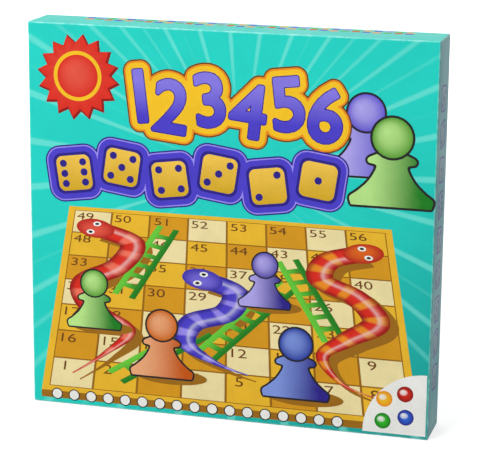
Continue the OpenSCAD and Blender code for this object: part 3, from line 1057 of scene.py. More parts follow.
class Film:
    """Printed shapes on one face, gathered layer over layer into one thin piece."""

    STEP = 0.024  # from one layer to the next, in millimetres
    THICK = 0.016  # thickness of the ink
    TRACE = 0.5  # cell of the grid on which a digit is thickened

    def __init__(self, face: Face, glyphs: Glyphs) -> None:
        """Starts an empty film on a face.

        Args:
            face: plane that it lies on.
            glyphs: numerals that it prints.
        """
        self.face = face
        self.glyphs = glyphs
        self.points: list[Vector] = []
        self.faces: list[tuple[int, ...]] = []
        self.inks: list[Colour] = []

    def add(
        self,
        layer: float,
        points: Sequence[Point],
        faces: Iterable[Sequence[int]],
        ink: Colour | Shade | Sequence[Colour],
        warp: Warp | None = None,
    ) -> None:
        """Adds faces to a layer.

        Args:
            layer: number of the layer, 1 lowest.
            points: flat points.
            faces: indices into them, anticlockwise.
            ink: one colour, one for each point, or a function of the place.
            warp: moves each point on the face.
        """
        start = len(self.points)
        for i, (x, y) in enumerate(points):
            u, v = warp(x, y) if warp else (x, y)
            self.points.append(self.face.at(u, v, layer * self.STEP))
            tone = ink(x, y) if callable(ink) else ink[i] if isinstance(ink, list) else ink
            self.inks.append(tone)
        self.faces += [tuple(start + i for i in f) for f in faces]

    def fill(
        self,
        layer: float,
        outline: Sequence[Point],
        ink: Colour | Shade,
        warp: Warp | None = None,
        holes: Sequence[Sequence[Point]] = (),
    ) -> None:
        """Fills an outline that doesn't cross itself, apart from its holes.

        Args:
            layer: number of the layer.
            outline: points of the outline.
            ink: one colour, or a function of the place.
            warp: moves each point on the face.
            holes: outlines that stay empty.
        """
        loops = [list(outline), *(list(hole) for hole in holes)]
        ring = [point for loop in loops for point in loop]
        cuts = tessellate_polygon([[Vector((x, y, 0.0)) for x, y in loop] for loop in loops])
        faces = []
        for a, b, c in cuts:
            (ax, ay), (bx, by), (cx, cy) = ring[a], ring[b], ring[c]
            faces.append((a, b, c) if (bx - ax) * (cy - ay) > (by - ay) * (cx - ax) else (a, c, b))
        self.add(layer, ring, faces, ink, warp)

    def glow(
        self,
        layer: float,
        outline: Sequence[Point],
        middle: Point,
        inner: Colour,
        outer: Colour,
        warp: Warp | None = None,
    ) -> None:
        """Fills a star-shaped outline from a bright middle to a darker edge.

        Args:
            layer: number of the layer.
            outline: points of the outline.
            middle: brightest place.
            inner: colour there.
            outer: colour at the edge.
            warp: moves each point on the face.
        """
        count = len(outline)
        half = [((x + middle[0]) / 2, (y + middle[1]) / 2) for x, y in outline]
        points = [middle, *half, *outline]
        inks = [inner] + [blend(inner, outer, 0.3)] * count + [outer] * count
        faces: list[tuple[int, ...]] = []
        for i in range(count):
            j = (i + 1) % count
            faces += [(0, 1 + i, 1 + j), (1 + i, 1 + count + i, 1 + count + j, 1 + j)]
        self.add(layer, points, faces, inks, warp)

    def number(
        self, layer: float, text: str, at: Point, size: float, ink: Colour | Shade, warp: Warp | None = None
    ) -> None:
        """Prints a number of that height about a place."""
        points, faces = self.glyphs.get(text)
        self.add(layer, turned(points, at, 0.0, size), faces, ink, warp)

    def heavy(
        self, layer: float, text: str, at: Point, size: float, ink: Colour | Shade, swell: float, tilt: float
    ) -> None:
        """Prints one large digit, thickened all round by swell millimetres."""
        loops = sorted(Halo(self.glyphs.sides(text, at, tilt, size), self.TRACE).at(swell), key=area)
        self.fill(layer, loops[-1], ink, holes=loops[:-1])

    def lay(
        self,
        layer: float,
        mesh: Mesh,
        at: Point = (0.0, 0.0),
        tilt: float = 0.0,
        warp: Warp | None = None,
    ) -> None:
        """Prints a flat mesh with its own ink, and removes it.

        Args:
            layer: number of the layer; a vertex below zero goes half a layer lower.
            mesh: result of a tree, about the origin.
            at: place of its origin.
            tilt: turn in degrees.
            warp: moves each point on the face.
        """
        data = mesh.attributes[INK]
        tones = [tuple(item.color)[:3] for item in data.data]
        if data.domain == "FACE":
            spread = {i: tones[p.index] for p in mesh.polygons for i in p.vertices}
            tones = [spread[i] for i in range(len(mesh.vertices))]
        flat = turned([(v.co.x, v.co.y) for v in mesh.vertices], at, tilt)
        start = len(self.points)
        self.add(layer, flat, [self._facing(p, mesh) for p in mesh.polygons], tones, warp)
        out = self.face.right.cross(self.face.up)
        for i, vertex in enumerate(mesh.vertices):
            if vertex.co.z < -0.5:
                self.points[start + i] -= out * (0.5 * self.STEP * MM)
        bpy.data.meshes.remove(mesh)

    @staticmethod
    def _facing(polygon: bpy.types.MeshPolygon, mesh: Mesh) -> tuple[int, ...]:
        """Corners of a polygon in the order that faces +Z.

        Args:
            polygon: the polygon.
            mesh: mesh that it is part of.

        Returns:
            Indices of its vertices.
        """
        ring = tuple(polygon.vertices)
        outline = [tuple(mesh.vertices[i].co.xy) for i in ring]
        return ring if area(outline) > 0 else tuple(reversed(ring))

    def build(self, name: str, body: str, slot: str) -> Piece:
        """Makes the film a closed piece on a body and returns it.

        Args:
            name: name of the piece.
            body: CAD body that it moves with.
            slot: material slot, passed on to publish.

        Returns:
            The piece.
        """
        mesh = bpy.data.meshes.new(name)
        mesh.from_pydata(self.points, [], self.faces)
        store = mesh.color_attributes.new(INK, "FLOAT_COLOR", "POINT")
        store.data.foreach_set("color", [c for tone in self.inks for c in (*tone, 1.0)])
        mesh.materials.append(Finishes.PRINT.material())
        made = place(name, mesh)
        wall = made.modifiers.new("film", "SOLIDIFY")
        wall.thickness = self.THICK * MM
        wall.offset = -1.0
        publish(made, body, slot)
        return made


@dataclass(frozen=True)
class SlantedBoard:
    """A board drawn in perspective: its flat places and where they land on the face.

    Attributes:
        near: half its width at the lower edge.
        far: half its width at the upper edge.
        low: height of the lower edge on the face.
        high: height of the upper edge.
        columns: cells in a row.
        rows: number of rows.
    """

    near: float = 174.0
    far: float = 146.0
    low: float = 17.0
    high: float = 190.0
    columns: int = 8
    rows: int = 7

    @property
    def span(self) -> float:
        """Height of the flat board."""
        return 2 * self.near * self.rows / self.columns

    @property
    def side(self) -> float:
        """Edge of a flat cell."""
        return 2 * self.near / self.columns

    def warp(self, x: float, y: float) -> Point:
        """Where a flat place lands.

        Args:
            x: place across, from the middle.
            y: place up, from the lower edge.

        Returns:
            The place on the face.
        """
        share = y / self.span
        pinch = self.near / self.far - 1
        shrink = 1 + pinch * share
        return x / shrink, self.low + (self.high - self.low) * share * (1 + pinch) / shrink

    def cell(self, number: int) -> Point:
        """Middle of a numbered cell, counted to and fro from the lower left.

        Args:
            number: number of the cell.

        Returns:
            Its flat place.
        """
        row, step = divmod(number - 1, self.columns)
        column = step if row % 2 == 0 else self.columns - 1 - step
        return (column + 0.5) * self.side - self.near, (row + 0.5) * self.side


class Painter:
    """Draws the motifs of the game on films."""

    GAP = 0.05  # share of a cell that is left between cells
    CORNER = (-0.2, 0.24)  # from the middle of a cell to its number, in cells
    RAIL, RUNG = 0.27, 0.3  # breadth of the rails and rungs in widths of a ladder
    RUNGS = 1.1  # rungs to a length of one width
    UNDER = 1.75  # layers from a snake down to its shadow, under the ladders
    CAST = (0.28, -0.3)  # from a snake to its shadow, in its widths
    BAND = 9  # points of a snake's path to one band
    GLEAM = 0.45  # strength of the light along a snake
    NECK = 6  # point of the path that the head looks away from
    HEAD, SQUASH = 0.78, 0.78  # half the length of a snake's head in its widths, and its breadth to that
    EYE = (0.22, 0.3)  # place of an eye, ahead and to the side
    ACROSS = 9  # points across a pawn
    LINE = 0.03  # black line round a pawn, in its size
    KNOB = (0.86, 0.25)  # height and radius of a pawn's head
    FIELD = 0.86  # field of a die inside its edge, in its size
    PIPS = (0.25, 0.09)  # spacing and radius of its pips
    # Inputs of the cells of a small board.
    SMALL = {"gap": 0.06, "ink_1": Ink.CREAM.light, "ink_2": Ink.GOLD.light, "ink_3": Ink.SKY.light}
    # Half the width and the height along a pawn, from its foot to its neck.
    PAWN: tuple[Point, ...] = (
        (0.50, 0.0), (0.52, 0.10), (0.42, 0.18), (0.28, 0.32), (0.19, 0.50), (0.29, 0.54), (0.29, 0.60),
        (0.16, 0.66),
    )

    def __init__(self, shapes: Shapes, glyphs: Glyphs) -> None:
        """Keeps the trees and numerals that it draws with."""
        self.shapes = shapes
        self.glyphs = glyphs

    def film(self, face: Face) -> Film:
        """Starts a film on a face."""
        return Film(face, self.glyphs)

    def cells(
        self, film: Film, layer: float, board: SlantedBoard, inks: Sequence[Ink], numbers: float
    ) -> None:
        """Prints the cells of a board and their numbers.

        Args:
            film: where they go.
            layer: layer of the cells; numbers go one higher.
            board: the board's layout.
            inks: three colours of the cells.
            numbers: height of a number as a share of a cell.
        """
        sizes = {"columns": board.columns, "rows": board.rows, "width": 2 * board.near, "height": board.span}
        tones = {f"ink_{i + 1}": ink.light for i, ink in enumerate(inks)}
        film.lay(layer, self.shapes.grid.run(**sizes, **tones, gap=self.GAP), warp=board.warp)
        right, up = (board.side * share for share in self.CORNER)
        for n in range(1, board.columns * board.rows + 1):
            x, y = board.cell(n)
            at = (x + right, y + up)
            film.number(layer + 1, str(n), at, board.side * numbers, Ink.BROWN.light, board.warp)

    def ladder(
        self, film: Film, layer: float, foot: Point, head: Point, width: float, warp: Warp | None = None
    ) -> None:
        """Prints a green ladder between two flat places.

        Args:
            film: where it goes.
            layer: its layer.
            foot: where it starts.
            head: where it ends.
            width: its width.
            warp: moves each point on the face.
        """
        dx, dy = head[0] - foot[0], head[1] - foot[1]
        length = math.hypot(dx, dy)
        tilt = math.degrees(math.atan2(dy, dx)) - 90
        rungs = max(3, round(length / width * self.RUNGS))
        sizes = {"length": length, "width": width, "rail": width * self.RAIL, "rung": width * self.RUNG}
        light = blend(Ink.GREEN.light, Ink.LIME.light, 0.3)
        mesh = self.shapes.ladder.run(**sizes, rungs=rungs, light=light, dark=Ink.FOREST.light)
        film.lay(layer, mesh, foot, tilt, warp)

    def snake(
        self,
        film: Film,
        layer: float,
        path: Sequence[Point],
        width: float,
        inks: Sequence[Ink],
        warp: Warp | None = None,
    ) -> None:
        """Prints a snake whose head is at the first point of its path, with two plain eyes.

        Args:
            film: where it goes.
            layer: its layer.
            path: places that it winds through.
            width: its greatest width.
            inks: colours of its body, bands and sides.
            warp: moves each point on the face.
        """
        line = winding(path)
        bands = float(round(len(line) / self.BAND))
        cast = {"width": width, "bands": 1.0, "body": SHADOW, "band": SHADOW, "rim": SHADOW, "gleam": 0.0}
        below = [(x + width * self.CAST[0], y + width * self.CAST[1]) for x, y in line]
        film.lay(layer - self.UNDER, self.shapes.snake.run(below, chain=True, **cast), warp=warp)
        body, band, rim = (ink.light for ink in inks)
        tones = {"body": body, "band": band, "rim": rim}
        mesh = self.shapes.snake.run(line, chain=True, width=width, bands=bands, gleam=self.GLEAM, **tones)
        film.lay(layer, mesh, warp=warp)
        (x0, y0), (x1, y1) = line[0], line[self.NECK]
        tilt = math.degrees(math.atan2(y0 - y1, x0 - x1))
        oval = circle((0.15, 0.0), self.HEAD, 28, squash=self.SQUASH)
        head = turned(oval, (x0, y0), tilt, width)
        crown = turned([(0.1, 0.2)], (x0, y0), tilt, width)[0]
        inner, outer = blend(body, band, 0.5), blend(body, rim, 0.55)
        film.glow(layer + 1, head, crown, inner, outer, warp)
        for side in (-1, 1):
            eye = turned([(self.EYE[0], self.EYE[1] * side)], (x0, y0), tilt, width)[0]
            film.fill(layer + 2, circle(eye, width * 0.16, 16), Ink.WHITE.light, warp)
            film.fill(layer + 2.5, circle(eye, width * 0.08, 12), Ink.BLACK.light, warp)

    def pawn(self, film: Film, layer: float, at: Point, size: float, ink: Ink, dark: Ink) -> None:
        """Prints a plain pawn that stands on a place.

        Args:
            film: where it goes.
            layer: its layer.
            at: middle of its foot.
            size: width of its foot.
            ink: its colour.
            dark: colour of its shaded side.
        """
        side = [(x * size, y * size) for x, y in winding(self.PAWN, 4)]
        whole = [*side, *((-x, y) for x, y in reversed(side))]
        outline = [(at[0] + x, at[1] + y) for x, y in whole]
        bright = blend(ink.light, Ink.WHITE.light, 0.22)

        def shade(x: float, y: float) -> Colour:
            """Darker to the right."""
            across = min(1.0, max(0.0, (x - at[0]) / (0.6 * size) + 0.45))
            return blend(bright, dark.light, across)

        film.fill(layer, Halo(around(outline), size / 40).outer(size * self.LINE)[0], Ink.BLACK.light)
        count = self.ACROSS
        steps = [2 * i / (count - 1) - 1 for i in range(count)]
        points = [(at[0] + x * t, at[1] + y) for x, y in side for t in steps]
        firsts = [row * count + i for row in range(len(side) - 1) for i in range(count - 1)]
        film.add(layer + 0.4, points, [(i, i + 1, i + count + 1, i + count) for i in firsts], shade)
        high, radius = (size * share for share in self.KNOB)
        head = (at[0], at[1] + high)
        film.fill(layer + 0.7, circle(head, radius + size * self.LINE, 28), Ink.BLACK.light)
        crown = (head[0] - 0.08 * size, head[1] + 0.08 * size)
        film.glow(layer + 1, circle(head, radius, 28), crown, bright, blend(ink.light, dark.light, 0.75))

    def die(
        self,
        film: Film,
        layer: float,
        at: Point,
        size: float,
        count: int,
        tilt: float,
        ground: Ink,
        edge: Ink,
    ) -> None:
        """Prints a die face with so many pips.

        Args:
            film: where it goes.
            layer: its layer.
            at: its middle.
            size: its edge.
            count: number of pips.
            tilt: turn in degrees.
            ground: its colour.
            edge: colour of its edge and pips.
        """
        film.fill(layer, rounded(at, size, size, size * 0.2, tilt), edge.light)
        low, high = tuple(c * 0.7 for c in ground.light), blend(ground.light, Ink.WHITE.light, 0.08)

        def shade(x: float, y: float) -> Colour:
            """Brighter to the top."""
            return blend(low, high, max(0.0, min(1.0, (y - at[1]) / size + 0.5)))

        inner = size * self.FIELD
        film.fill(layer + 1, rounded(at, inner, inner, size * 0.16, tilt), shade)
        step, radius = (size * share for share in self.PIPS)
        self.dots(film, layer + 2, turned(pips(count), at, tilt, step), radius, edge)

    def counter(self, film: Film, layer: float, at: Point, radius: float, ink: Ink, dark: Ink) -> None:
        """Prints a round counter under its clear dome.

        Args:
            film: where it goes.
            layer: its layer.
            at: its middle.
            radius: its radius.
            ink: its colour.
            dark: colour of its edge.
        """
        film.glow(layer, circle(at, radius), at, ink.light, dark.light)
        gleam = (at[0] - radius * 0.2, at[1] + radius * 0.2)
        crown = (gleam[0] - radius * 0.1, gleam[1] + radius * 0.15)
        soft = blend(ink.light, Ink.WHITE.light, 0.3)
        film.glow(layer + 1, circle(gleam, radius * 0.5, 20, squash=0.8), crown, Ink.WHITE.light, soft)

    def dots(self, film: Film, layer: float, spots: Iterable[Point], radius: float, ink: Ink) -> None:
        """Prints a round dot of that radius on each spot."""
        points = [(x, y, 0.0) for x, y in spots]
        film.lay(layer, self.shapes.dots.run(points, radius=radius, turn=Vector((0, 0, 0)), tone=ink.light))


def pips(count: int) -> list[Point]:
    """Places of the pips of a die face, in quarters of its edge.

    Args:
        count: number of pips, 1 to 6.

    Returns:
        The places, about the middle of the face.
    """
    spots = [(0.0, 0.0)] if count % 2 else []
    spots += [(-1.0, -1.0), (1.0, 1.0)] if count > 1 else []
    spots += [(-1.0, 1.0), (1.0, -1.0)] if count > 3 else []
    spots += [(-1.0, 0.0), (1.0, 0.0)] if count == 6 else []
    return spots


@dataclass
class WrappedBox:
    """One half of the set-up box: greyboard under a printed wrap that turns in over its rim.

    Attributes:
        name: name that its pieces start with.
        body: CAD body that it rides on.
        width: outer width in millimetres.
        height: outer height.
        depth: from its closed face to its rim.
        face_y: place of the closed face along Y in millimetres.
        inward: direction along Y from that face into the box.
        ground: finish of the wrap.
        slot: material slot of the wrap.
        middle: height of its middle over the floor.
        board: thickness of the greyboard.
        skin: depth of the greyboard under the outer size.
        film: depth of the paper under the outer size, which leaves room for the ink.
        paper: thickness of the paper.
        round: radius of the edges.
        hem: depth of the paper that is turned in over the rim.
        support: distance from a round of the points that keep the sides flat.
    """

    SHARP = 0.25  # least radius of a corner
    STEPS = 6  # steps of a round edge
    CORNER = 5  # steps of a round corner
    CREASE = 40  # degrees from which an edge is sharp
    LIP = 0.25  # from the inside of the greyboard to the face of the turned-in paper
    SLACK = 0.02  # from the greyboard to the back of that paper
    # Steps of the paper over the rim: in from the outside or back from the inside, and short of the rim.
    OVER = ((0.0, 0.3), (0.1, 0.05), (0.3, 0.0))
    INTO = ((0.2, 0.0), (0.0, 0.2))

    name: str
    body: str
    width: float
    height: float
    depth: float
    face_y: float
    inward: float
    ground: Finish
    slot: str
    middle: float = 181.5
    board: float = 2.0
    skin: float = 0.3
    film: float = 0.22
    paper: float = 0.07
    round: float = 1.4
    hem: float = 15.0
    support: float = 0.4

    def face(self) -> Face:
        """Plane of the paper on the closed face."""
        origin = Vector((0.0, (self.face_y + self.inward * self.film) * MM, 0.0))
        return Face(origin, Vector((self.inward, 0.0, 0.0)), Z_AXIS)

    def ring(self, inset: float, depth: float) -> list[Vector]:
        """One loop round the box.

        Args:
            inset: distance in from the outer size.
            depth: distance from the closed face.

        Returns:
            Points of a rectangle with round corners, and one beside each round that keeps the sides flat.
        """
        w, h = self.width / 2 - inset, self.height / 2 - inset
        bend = max(self.round - inset, self.SHARP)
        points: list[Point] = []
        for sx, sy, start in QUARTERS:
            corner = (sx * (w - bend), sy * (h - bend))
            arc = circle(corner, bend, self.CORNER, start, 90)
            (ax, ay), (bx, by) = arc[0], arc[-1]
            lead = (-self.support * sx * (start in (90, 270)), -self.support * sy * (start in (0, 180)))
            tail = (-self.support * sx * (start in (0, 180)), -self.support * sy * (start in (90, 270)))
            points += [(ax + lead[0], ay + lead[1]), *arc, (bx + tail[0], by + tail[1])]
        y = self.face_y + self.inward * depth
        return [Vector((u, y, v + self.middle)) * MM for u, v in points]

    def turn(self, inset: float, depth: float, radius: float) -> list[Point]:
        """Inset and depth along the round edge from the closed face to the sides.

        Args:
            inset: distance in from the outer size.
            depth: distance from the closed face.
            radius: radius of the edge.

        Returns:
            The steps of a profile.
        """
        arc = [math.radians(90 * i / self.STEPS) for i in range(self.STEPS + 1)]
        edge = [(inset + radius * (1 - math.sin(a)), depth + radius * (1 - math.cos(a))) for a in arc]
        return [(inset + radius + self.support, depth), *edge, (inset, depth + radius + self.support)]

    def loft(self, name: str, profile: Sequence[Point], finish: Finish) -> Piece:
        """Makes a closed mesh through the loops of a profile.

        Args:
            name: name of the piece.
            profile: inset and depth of each loop, from one closed end to the other.
            finish: its surface.

        Returns:
            The piece.
        """
        mesh = bpy.data.meshes.new(name)
        made = bmesh.new()
        rows = [[made.verts.new(p) for p in self.ring(*step)] for step in profile]
        for low, high in pairwise(rows):
            for i, corner in enumerate(low):
                j = (i + 1) % len(low)
                made.faces.new((corner, low[j], high[j], high[i]))
        made.faces.new(rows[0])
        made.faces.new(rows[-1])
        bmesh.ops.recalc_face_normals(made, faces=made.faces)
        made.to_mesh(mesh)
        made.free()
        mesh.shade_smooth()
        mesh.set_sharp_from_angle(angle=math.radians(self.CREASE))
        mesh.materials.append(finish.material())
        return place(name, mesh)

    def build(self) -> None:
        """Makes the greyboard and its wrap, in place of the plain ones."""
        s, t = self.skin, self.board
        rim, inner = self.depth - s, s + t
        core = self.turn(s, s, self.round - s + self.film)
        core += [(s, rim), (inner, rim), (inner, inner)]
        board = self.loft(f"{self.name}_board", core, Finishes.GREYBOARD)
        publish(board, self.body, "greyboard", f"{self.name}_shell")
        end = self.depth
        lip, under = inner + self.LIP, inner + self.SLACK
        out = self.turn(self.film, self.film, self.round)
        out += [(self.film + away, end - short) for away, short in self.OVER]
        out += [(lip - away, end - short) for away, short in self.INTO]
        out += [(lip, end - self.hem), (under, end - self.hem), (under, rim + self.SLACK)]
        out += [(s - self.SLACK / 2, rim + self.SLACK)]
        back = self.turn(self.film + self.paper, self.film + self.paper, self.round - self.paper)
        wrap = self.loft(f"{self.name}_paper", out + list(reversed(back)), self.ground)
        publish(wrap, self.body, self.slot, f"{self.name}_wrap")


@dataclass
class LidArt:
    """Print of the lid: a slanted board with snakes and ladders under rows of numerals and dice.

    Attributes:
        box: the lid that it lies on.
        painter: draws the motifs.
        board: layout of the slanted board.
    """

    # Layers of the front, from the paper up.
    EDGE, PANEL, CELLS, LADDER, SNAKE, TILE, CORNER, PIECE = 1, 1.5, 2, 4, 5, 6.6, 7, 7.5
    WIDE = (0.6, 0.66)  # width of a ladder and of a snake, in cells
    CAST = (0.16, 0.02)  # from a pawn's foot to the middle of its shadow, in its size
    # Foot and head of each ladder, by the numbers of their cells.
    LADDERS = ((2, 20), (13, 38), (23, 43), (31, 51))
    # Path of each snake, in cells from the middle of the lower edge, and its inks.
    SNAKES = (
        (
            (-3.3, 6.2), (-2.4, 5.7), (-2.7, 4.7), (-3.5, 3.9), (-3.2, 2.9), (-2.3, 2.2), (-2.8, 1.3),
            (-3.5, 0.5),
        ),
        (
            (3.3, 6.0), (2.5, 5.6), (2.3, 4.8), (3.1, 4.2), (3.5, 3.3), (2.8, 2.6), (2.2, 1.9), (2.6, 1.0),
            (3.4, 0.6),
        ),
        ((-0.5, 4.4), (0.2, 4.0), (0.0, 3.2), (-0.8, 2.7), (-0.9, 1.9), (-0.2, 1.3), (0.5, 1.0)),
    )
    SNAKE_INKS = (RED_SNAKE, (Ink.RED, Ink.ORANGE, Ink.MAROON), VIOLET_SNAKE)
    # Foot, size and inks of each pawn on the board.
    PAWNS = (
        ((-62, 36), 58, Ink.ORANGE, Ink.RUST),
        ((66, 28), 60, Ink.BLUE, Ink.INDIGO),
        ((36, 112), 46, Ink.LILAC, Ink.INDIGO),
        ((-128, 78), 50, Ink.LIME, Ink.FOREST),
    )
    # Layer, foot, size and inks of each pawn beside it.
    BESIDE = (
        (0.3, (126, 240), 66, Ink.LILAC, Ink.VIOLET),
        (4, (150, 214), 72, Ink.LIME, Ink.FOREST),
    )
    # Place and inks of each counter.
    COUNTERS = (
        ((168, 42), Ink.RED, Ink.MAROON),
        ((149, 36), Ink.YELLOW, Ink.ORANGE),
        ((169, 20), Ink.BLUE, Ink.INDIGO),
        ((148, 15), Ink.GREEN, Ink.FOREST),
    )
    # Inks of the squares on the upper and lower side.
    SQUARES = (Ink.VIOLET, Ink.GOLD, Ink.RED, Ink.GREEN, Ink.LILAC, Ink.ORANGE)

    box: WrappedBox
    painter: Painter
    board: SlantedBoard = field(default_factory=SlantedBoard)

    def build(self) -> None:
        """Prints every side of the lid."""
        front = self.painter.film(self.box.face())
        self._board(front)
        self._pieces(front)
        self._rows(front)
        self._corner(front)
        front.build("lid_front_print", self.box.body, self.box.slot)
        self._skirts()

    def _board(self, film: Film) -> None:
        """Slanted board with its edge, cells, ladders and snakes.

        Args:
            film: print of the front.
        """
        board, paint = self.board, self.painter
        edge = 7.0
        wide = board.near + edge
        rim = [(-wide, -edge), (wide, -edge), (wide, board.span + edge), (-wide, board.span + edge)]
        border = [board.warp(x, y) for x, y in rim]
        (left, left_v), (right, right_v) = border[:2]
        lower = [(left, left_v), (right, right_v), (right, right_v - edge), (left, left_v - edge)]
        film.fill(self.EDGE, lower, SHADOW)
        film.fill(self.EDGE, border, Ink.GOLD.light)
        panel = [(-board.near, 0.0), (board.near, 0.0), (board.near, board.span), (-board.near, board.span)]
        film.fill(self.PANEL, panel, blend(Ink.BROWN.light, Ink.AMBER.light, 0.3), board.warp)
        paint.cells(film, self.CELLS, board, (Ink.CREAM, Ink.GOLD, Ink.AMBER), numbers=0.32)
        cell = board.side
        ladder, snake = (cell * share for share in self.WIDE)
        for k, (foot, head) in enumerate(self.LADDERS):
            layer = self.LADDER + 0.25 * k
            paint.ladder(film, layer, board.cell(foot), board.cell(head), ladder, board.warp)
        for path, inks in zip(self.SNAKES, self.SNAKE_INKS):
            places = [(x * cell, y * cell) for x, y in path]
            paint.snake(film, self.SNAKE, places, snake, inks, board.warp)

    def _pieces(self, film: Film) -> None:
        """Pawns on the board and beside it.

        Args:
            film: print of the front.
        """
        paint = self.painter
        for at, size, ink, dark in self.PAWNS:
            below = (at[0] + size * self.CAST[0], at[1] + size * self.CAST[1])
            film.fill(self.PIECE - 0.3, circle(below, size * 0.6, 32, squash=0.22), SHADOW)
            paint.pawn(film, self.PIECE, at, size, ink, dark)
        for pawn in self.BESIDE:
            paint.pawn(film, *pawn)

    def _rows(self, film: Film) -> None:
        """A star, and the rows of numerals and dice above the board.

        Args:
            film: print of the front.
        """
        paint = self.painter
        rings = [circle((0.0, 0.0), radius, 32) for radius in (27.0, 34.0)]
        star = [rings[i % 2][i] for i in range(32)]
        red, coral = Ink.RED.light, Ink.CORAL.light
        middle = (-142, 315)
        film.fill(1, turned(star, (-141, 314), 4, 1.18), Ink.MAROON.light)
        film.glow(2, turned(star, middle, 4, 1.12), (-150, 325), blend(red, coral, 0.25), red)
        film.fill(3, circle(middle, 23, 40), Ink.YELLOW.light)
        film.glow(4, circle(middle, 19.5, 40), (-146, 320), blend(red, coral, 0.5), red)

        def violet(x: float, y: float) -> Colour:
            """Lighter to the top of a numeral."""
            return blend(Ink.VIOLET.light, Ink.LILAC.light, max(0.0, min(0.7, (y - 282) / 45)))

        places = (-82, -53, -17, 19, 55, 90)
        tall, tile = 47, 38
        numerals = [
            (str(n), (u, 296 + (4 if n % 2 else -4)), 7 if n % 2 else -6) for n, u in enumerate(places, 1)
        ]
        sides = [s for text, at, tilt in numerals for s in paint.glyphs.sides(text, at, tilt, tall)]
        self._rim(film, 2, sides, ((10.5, Ink.BROWN), (9.2, Ink.ORANGE), (7.6, Ink.YELLOW)))
        for text, at, tilt in numerals:
            film.heavy(3.5, text, at, tall, Ink.INDIGO.light, 2.6, tilt)
            film.heavy(4.2, text, at, tall, violet, 1.7, tilt)
        tiles = [
            ((-146 + 46.0 * (n - 1), 229 - (4 if n % 2 else -4)), 8 if n % 2 else -8) for n in range(1, 7)
        ]
        sides = [s for at, tilt in tiles for s in around(rounded(at, tile, tile, 7, tilt))]
        self._rim(film, 5, sides, ((7.5, Ink.INDIGO), (6.2, Ink.LILAC), (5.0, Ink.VIOLET)))
        for n, (at, tilt) in enumerate(tiles):
            paint.die(film, self.TILE, at, tile, 6 - n, tilt, Ink.YELLOW, Ink.INDIGO)

    @staticmethod
    def _rim(film: Film, layer: float, sides: Sequence[Segment], bands: Sequence[tuple[float, Ink]]) -> None:
        """Prints bands of colour round a group of shapes, the widest lowest.

        Args:
            film: where they go.
            layer: layer of the widest.
            sides: sides of the shapes.
            bands: reach and colour of each band.
        """
        halo = Halo(sides)
        for k, (reach, ink) in enumerate(bands):
            for loop in halo.outer(reach):
                film.fill(layer + 0.5 * k, loop, ink.light)

    def _corner(self, film: Film) -> None:
        """White quarter disc with four counters, and a row of discs along the lower edge.

        Args:
            film: print of the front.
        """
        paint = self.painter
        reach, corner = 58.0, (187.5, 3.5)
        arc = circle(corner, reach, 24, 90, 90)
        film.fill(self.CORNER, [corner, *arc], Ink.WHITE.light)
        for at, ink, dark in self.COUNTERS:
            paint.counter(film, self.PIECE, at, 7.5, ink, dark)
        row = [(-166 + 17.0 * i, 9.5) for i in range(17)]
        paint.dots(film, self.TILE, row, 5.6, Ink.BLACK)
        paint.dots(film, self.TILE + 0.5, row, 4.6, Ink.WHITE)

    def _skirts(self) -> None:
        """Rows of dice and squares on the four sides."""
        box, paint = self.box, self.painter
        film_at, top = box.film, box.height
        front = Vector((0.0, box.face_y * MM, 0.0))
        upper = paint.film(Face(front + Vector((0, 0, (top - film_at) * MM)), X_AXIS, Y_AXIS))
        tones = self.SQUARES
        for i in range(64):
            at = (-142 + 9.6 * (i // 2), 41.0 - 8.5 * (i % 2) + 1.2 * math.sin(i * 2.4))
            tile = rounded(at, width=7.6, height=6.8, radius=1.4, tilt=14 * math.sin(i * 1.7))
            upper.fill(1, tile, tones[(i * 5 + i // 4) % len(tones)].light)
        upper.build("lid_top_print", box.body, box.slot)
        for name, right in (("right", 1), ("left", -1)):
            origin = front + Vector((right * (box.width / 2 - film_at) * MM, 0, 0))
            side = paint.film(Face(origin, Vector((0, right, 0)), Z_AXIS))
            for i in range(9):
                at = (right * 25.0, 53 + 32.0 * i)
                paint.die(side, 1, at, 24, 1 + i % 6, 6 if i % 2 else -6, Ink.STEEL, Ink.INDIGO)
            side.build(f"lid_{name}_print", box.body, box.slot)
        lower = paint.film(Face(front + Vector((0, 0, film_at * MM)), X_AXIS, Vector((0, -1, 0))))
        for i in range(38):
            at = (-166 + 9.0 * i, -24 + 1.2 * math.sin(i * 2.4))
            tile = rounded(at, width=7.2, height=7.2, radius=1.4, tilt=14 * math.sin(i * 1.9))
            lower.fill(1, tile, tones[(i * 5) % len(tones)].light)
        lower.build("lid_lower_print", box.body, box.slot)


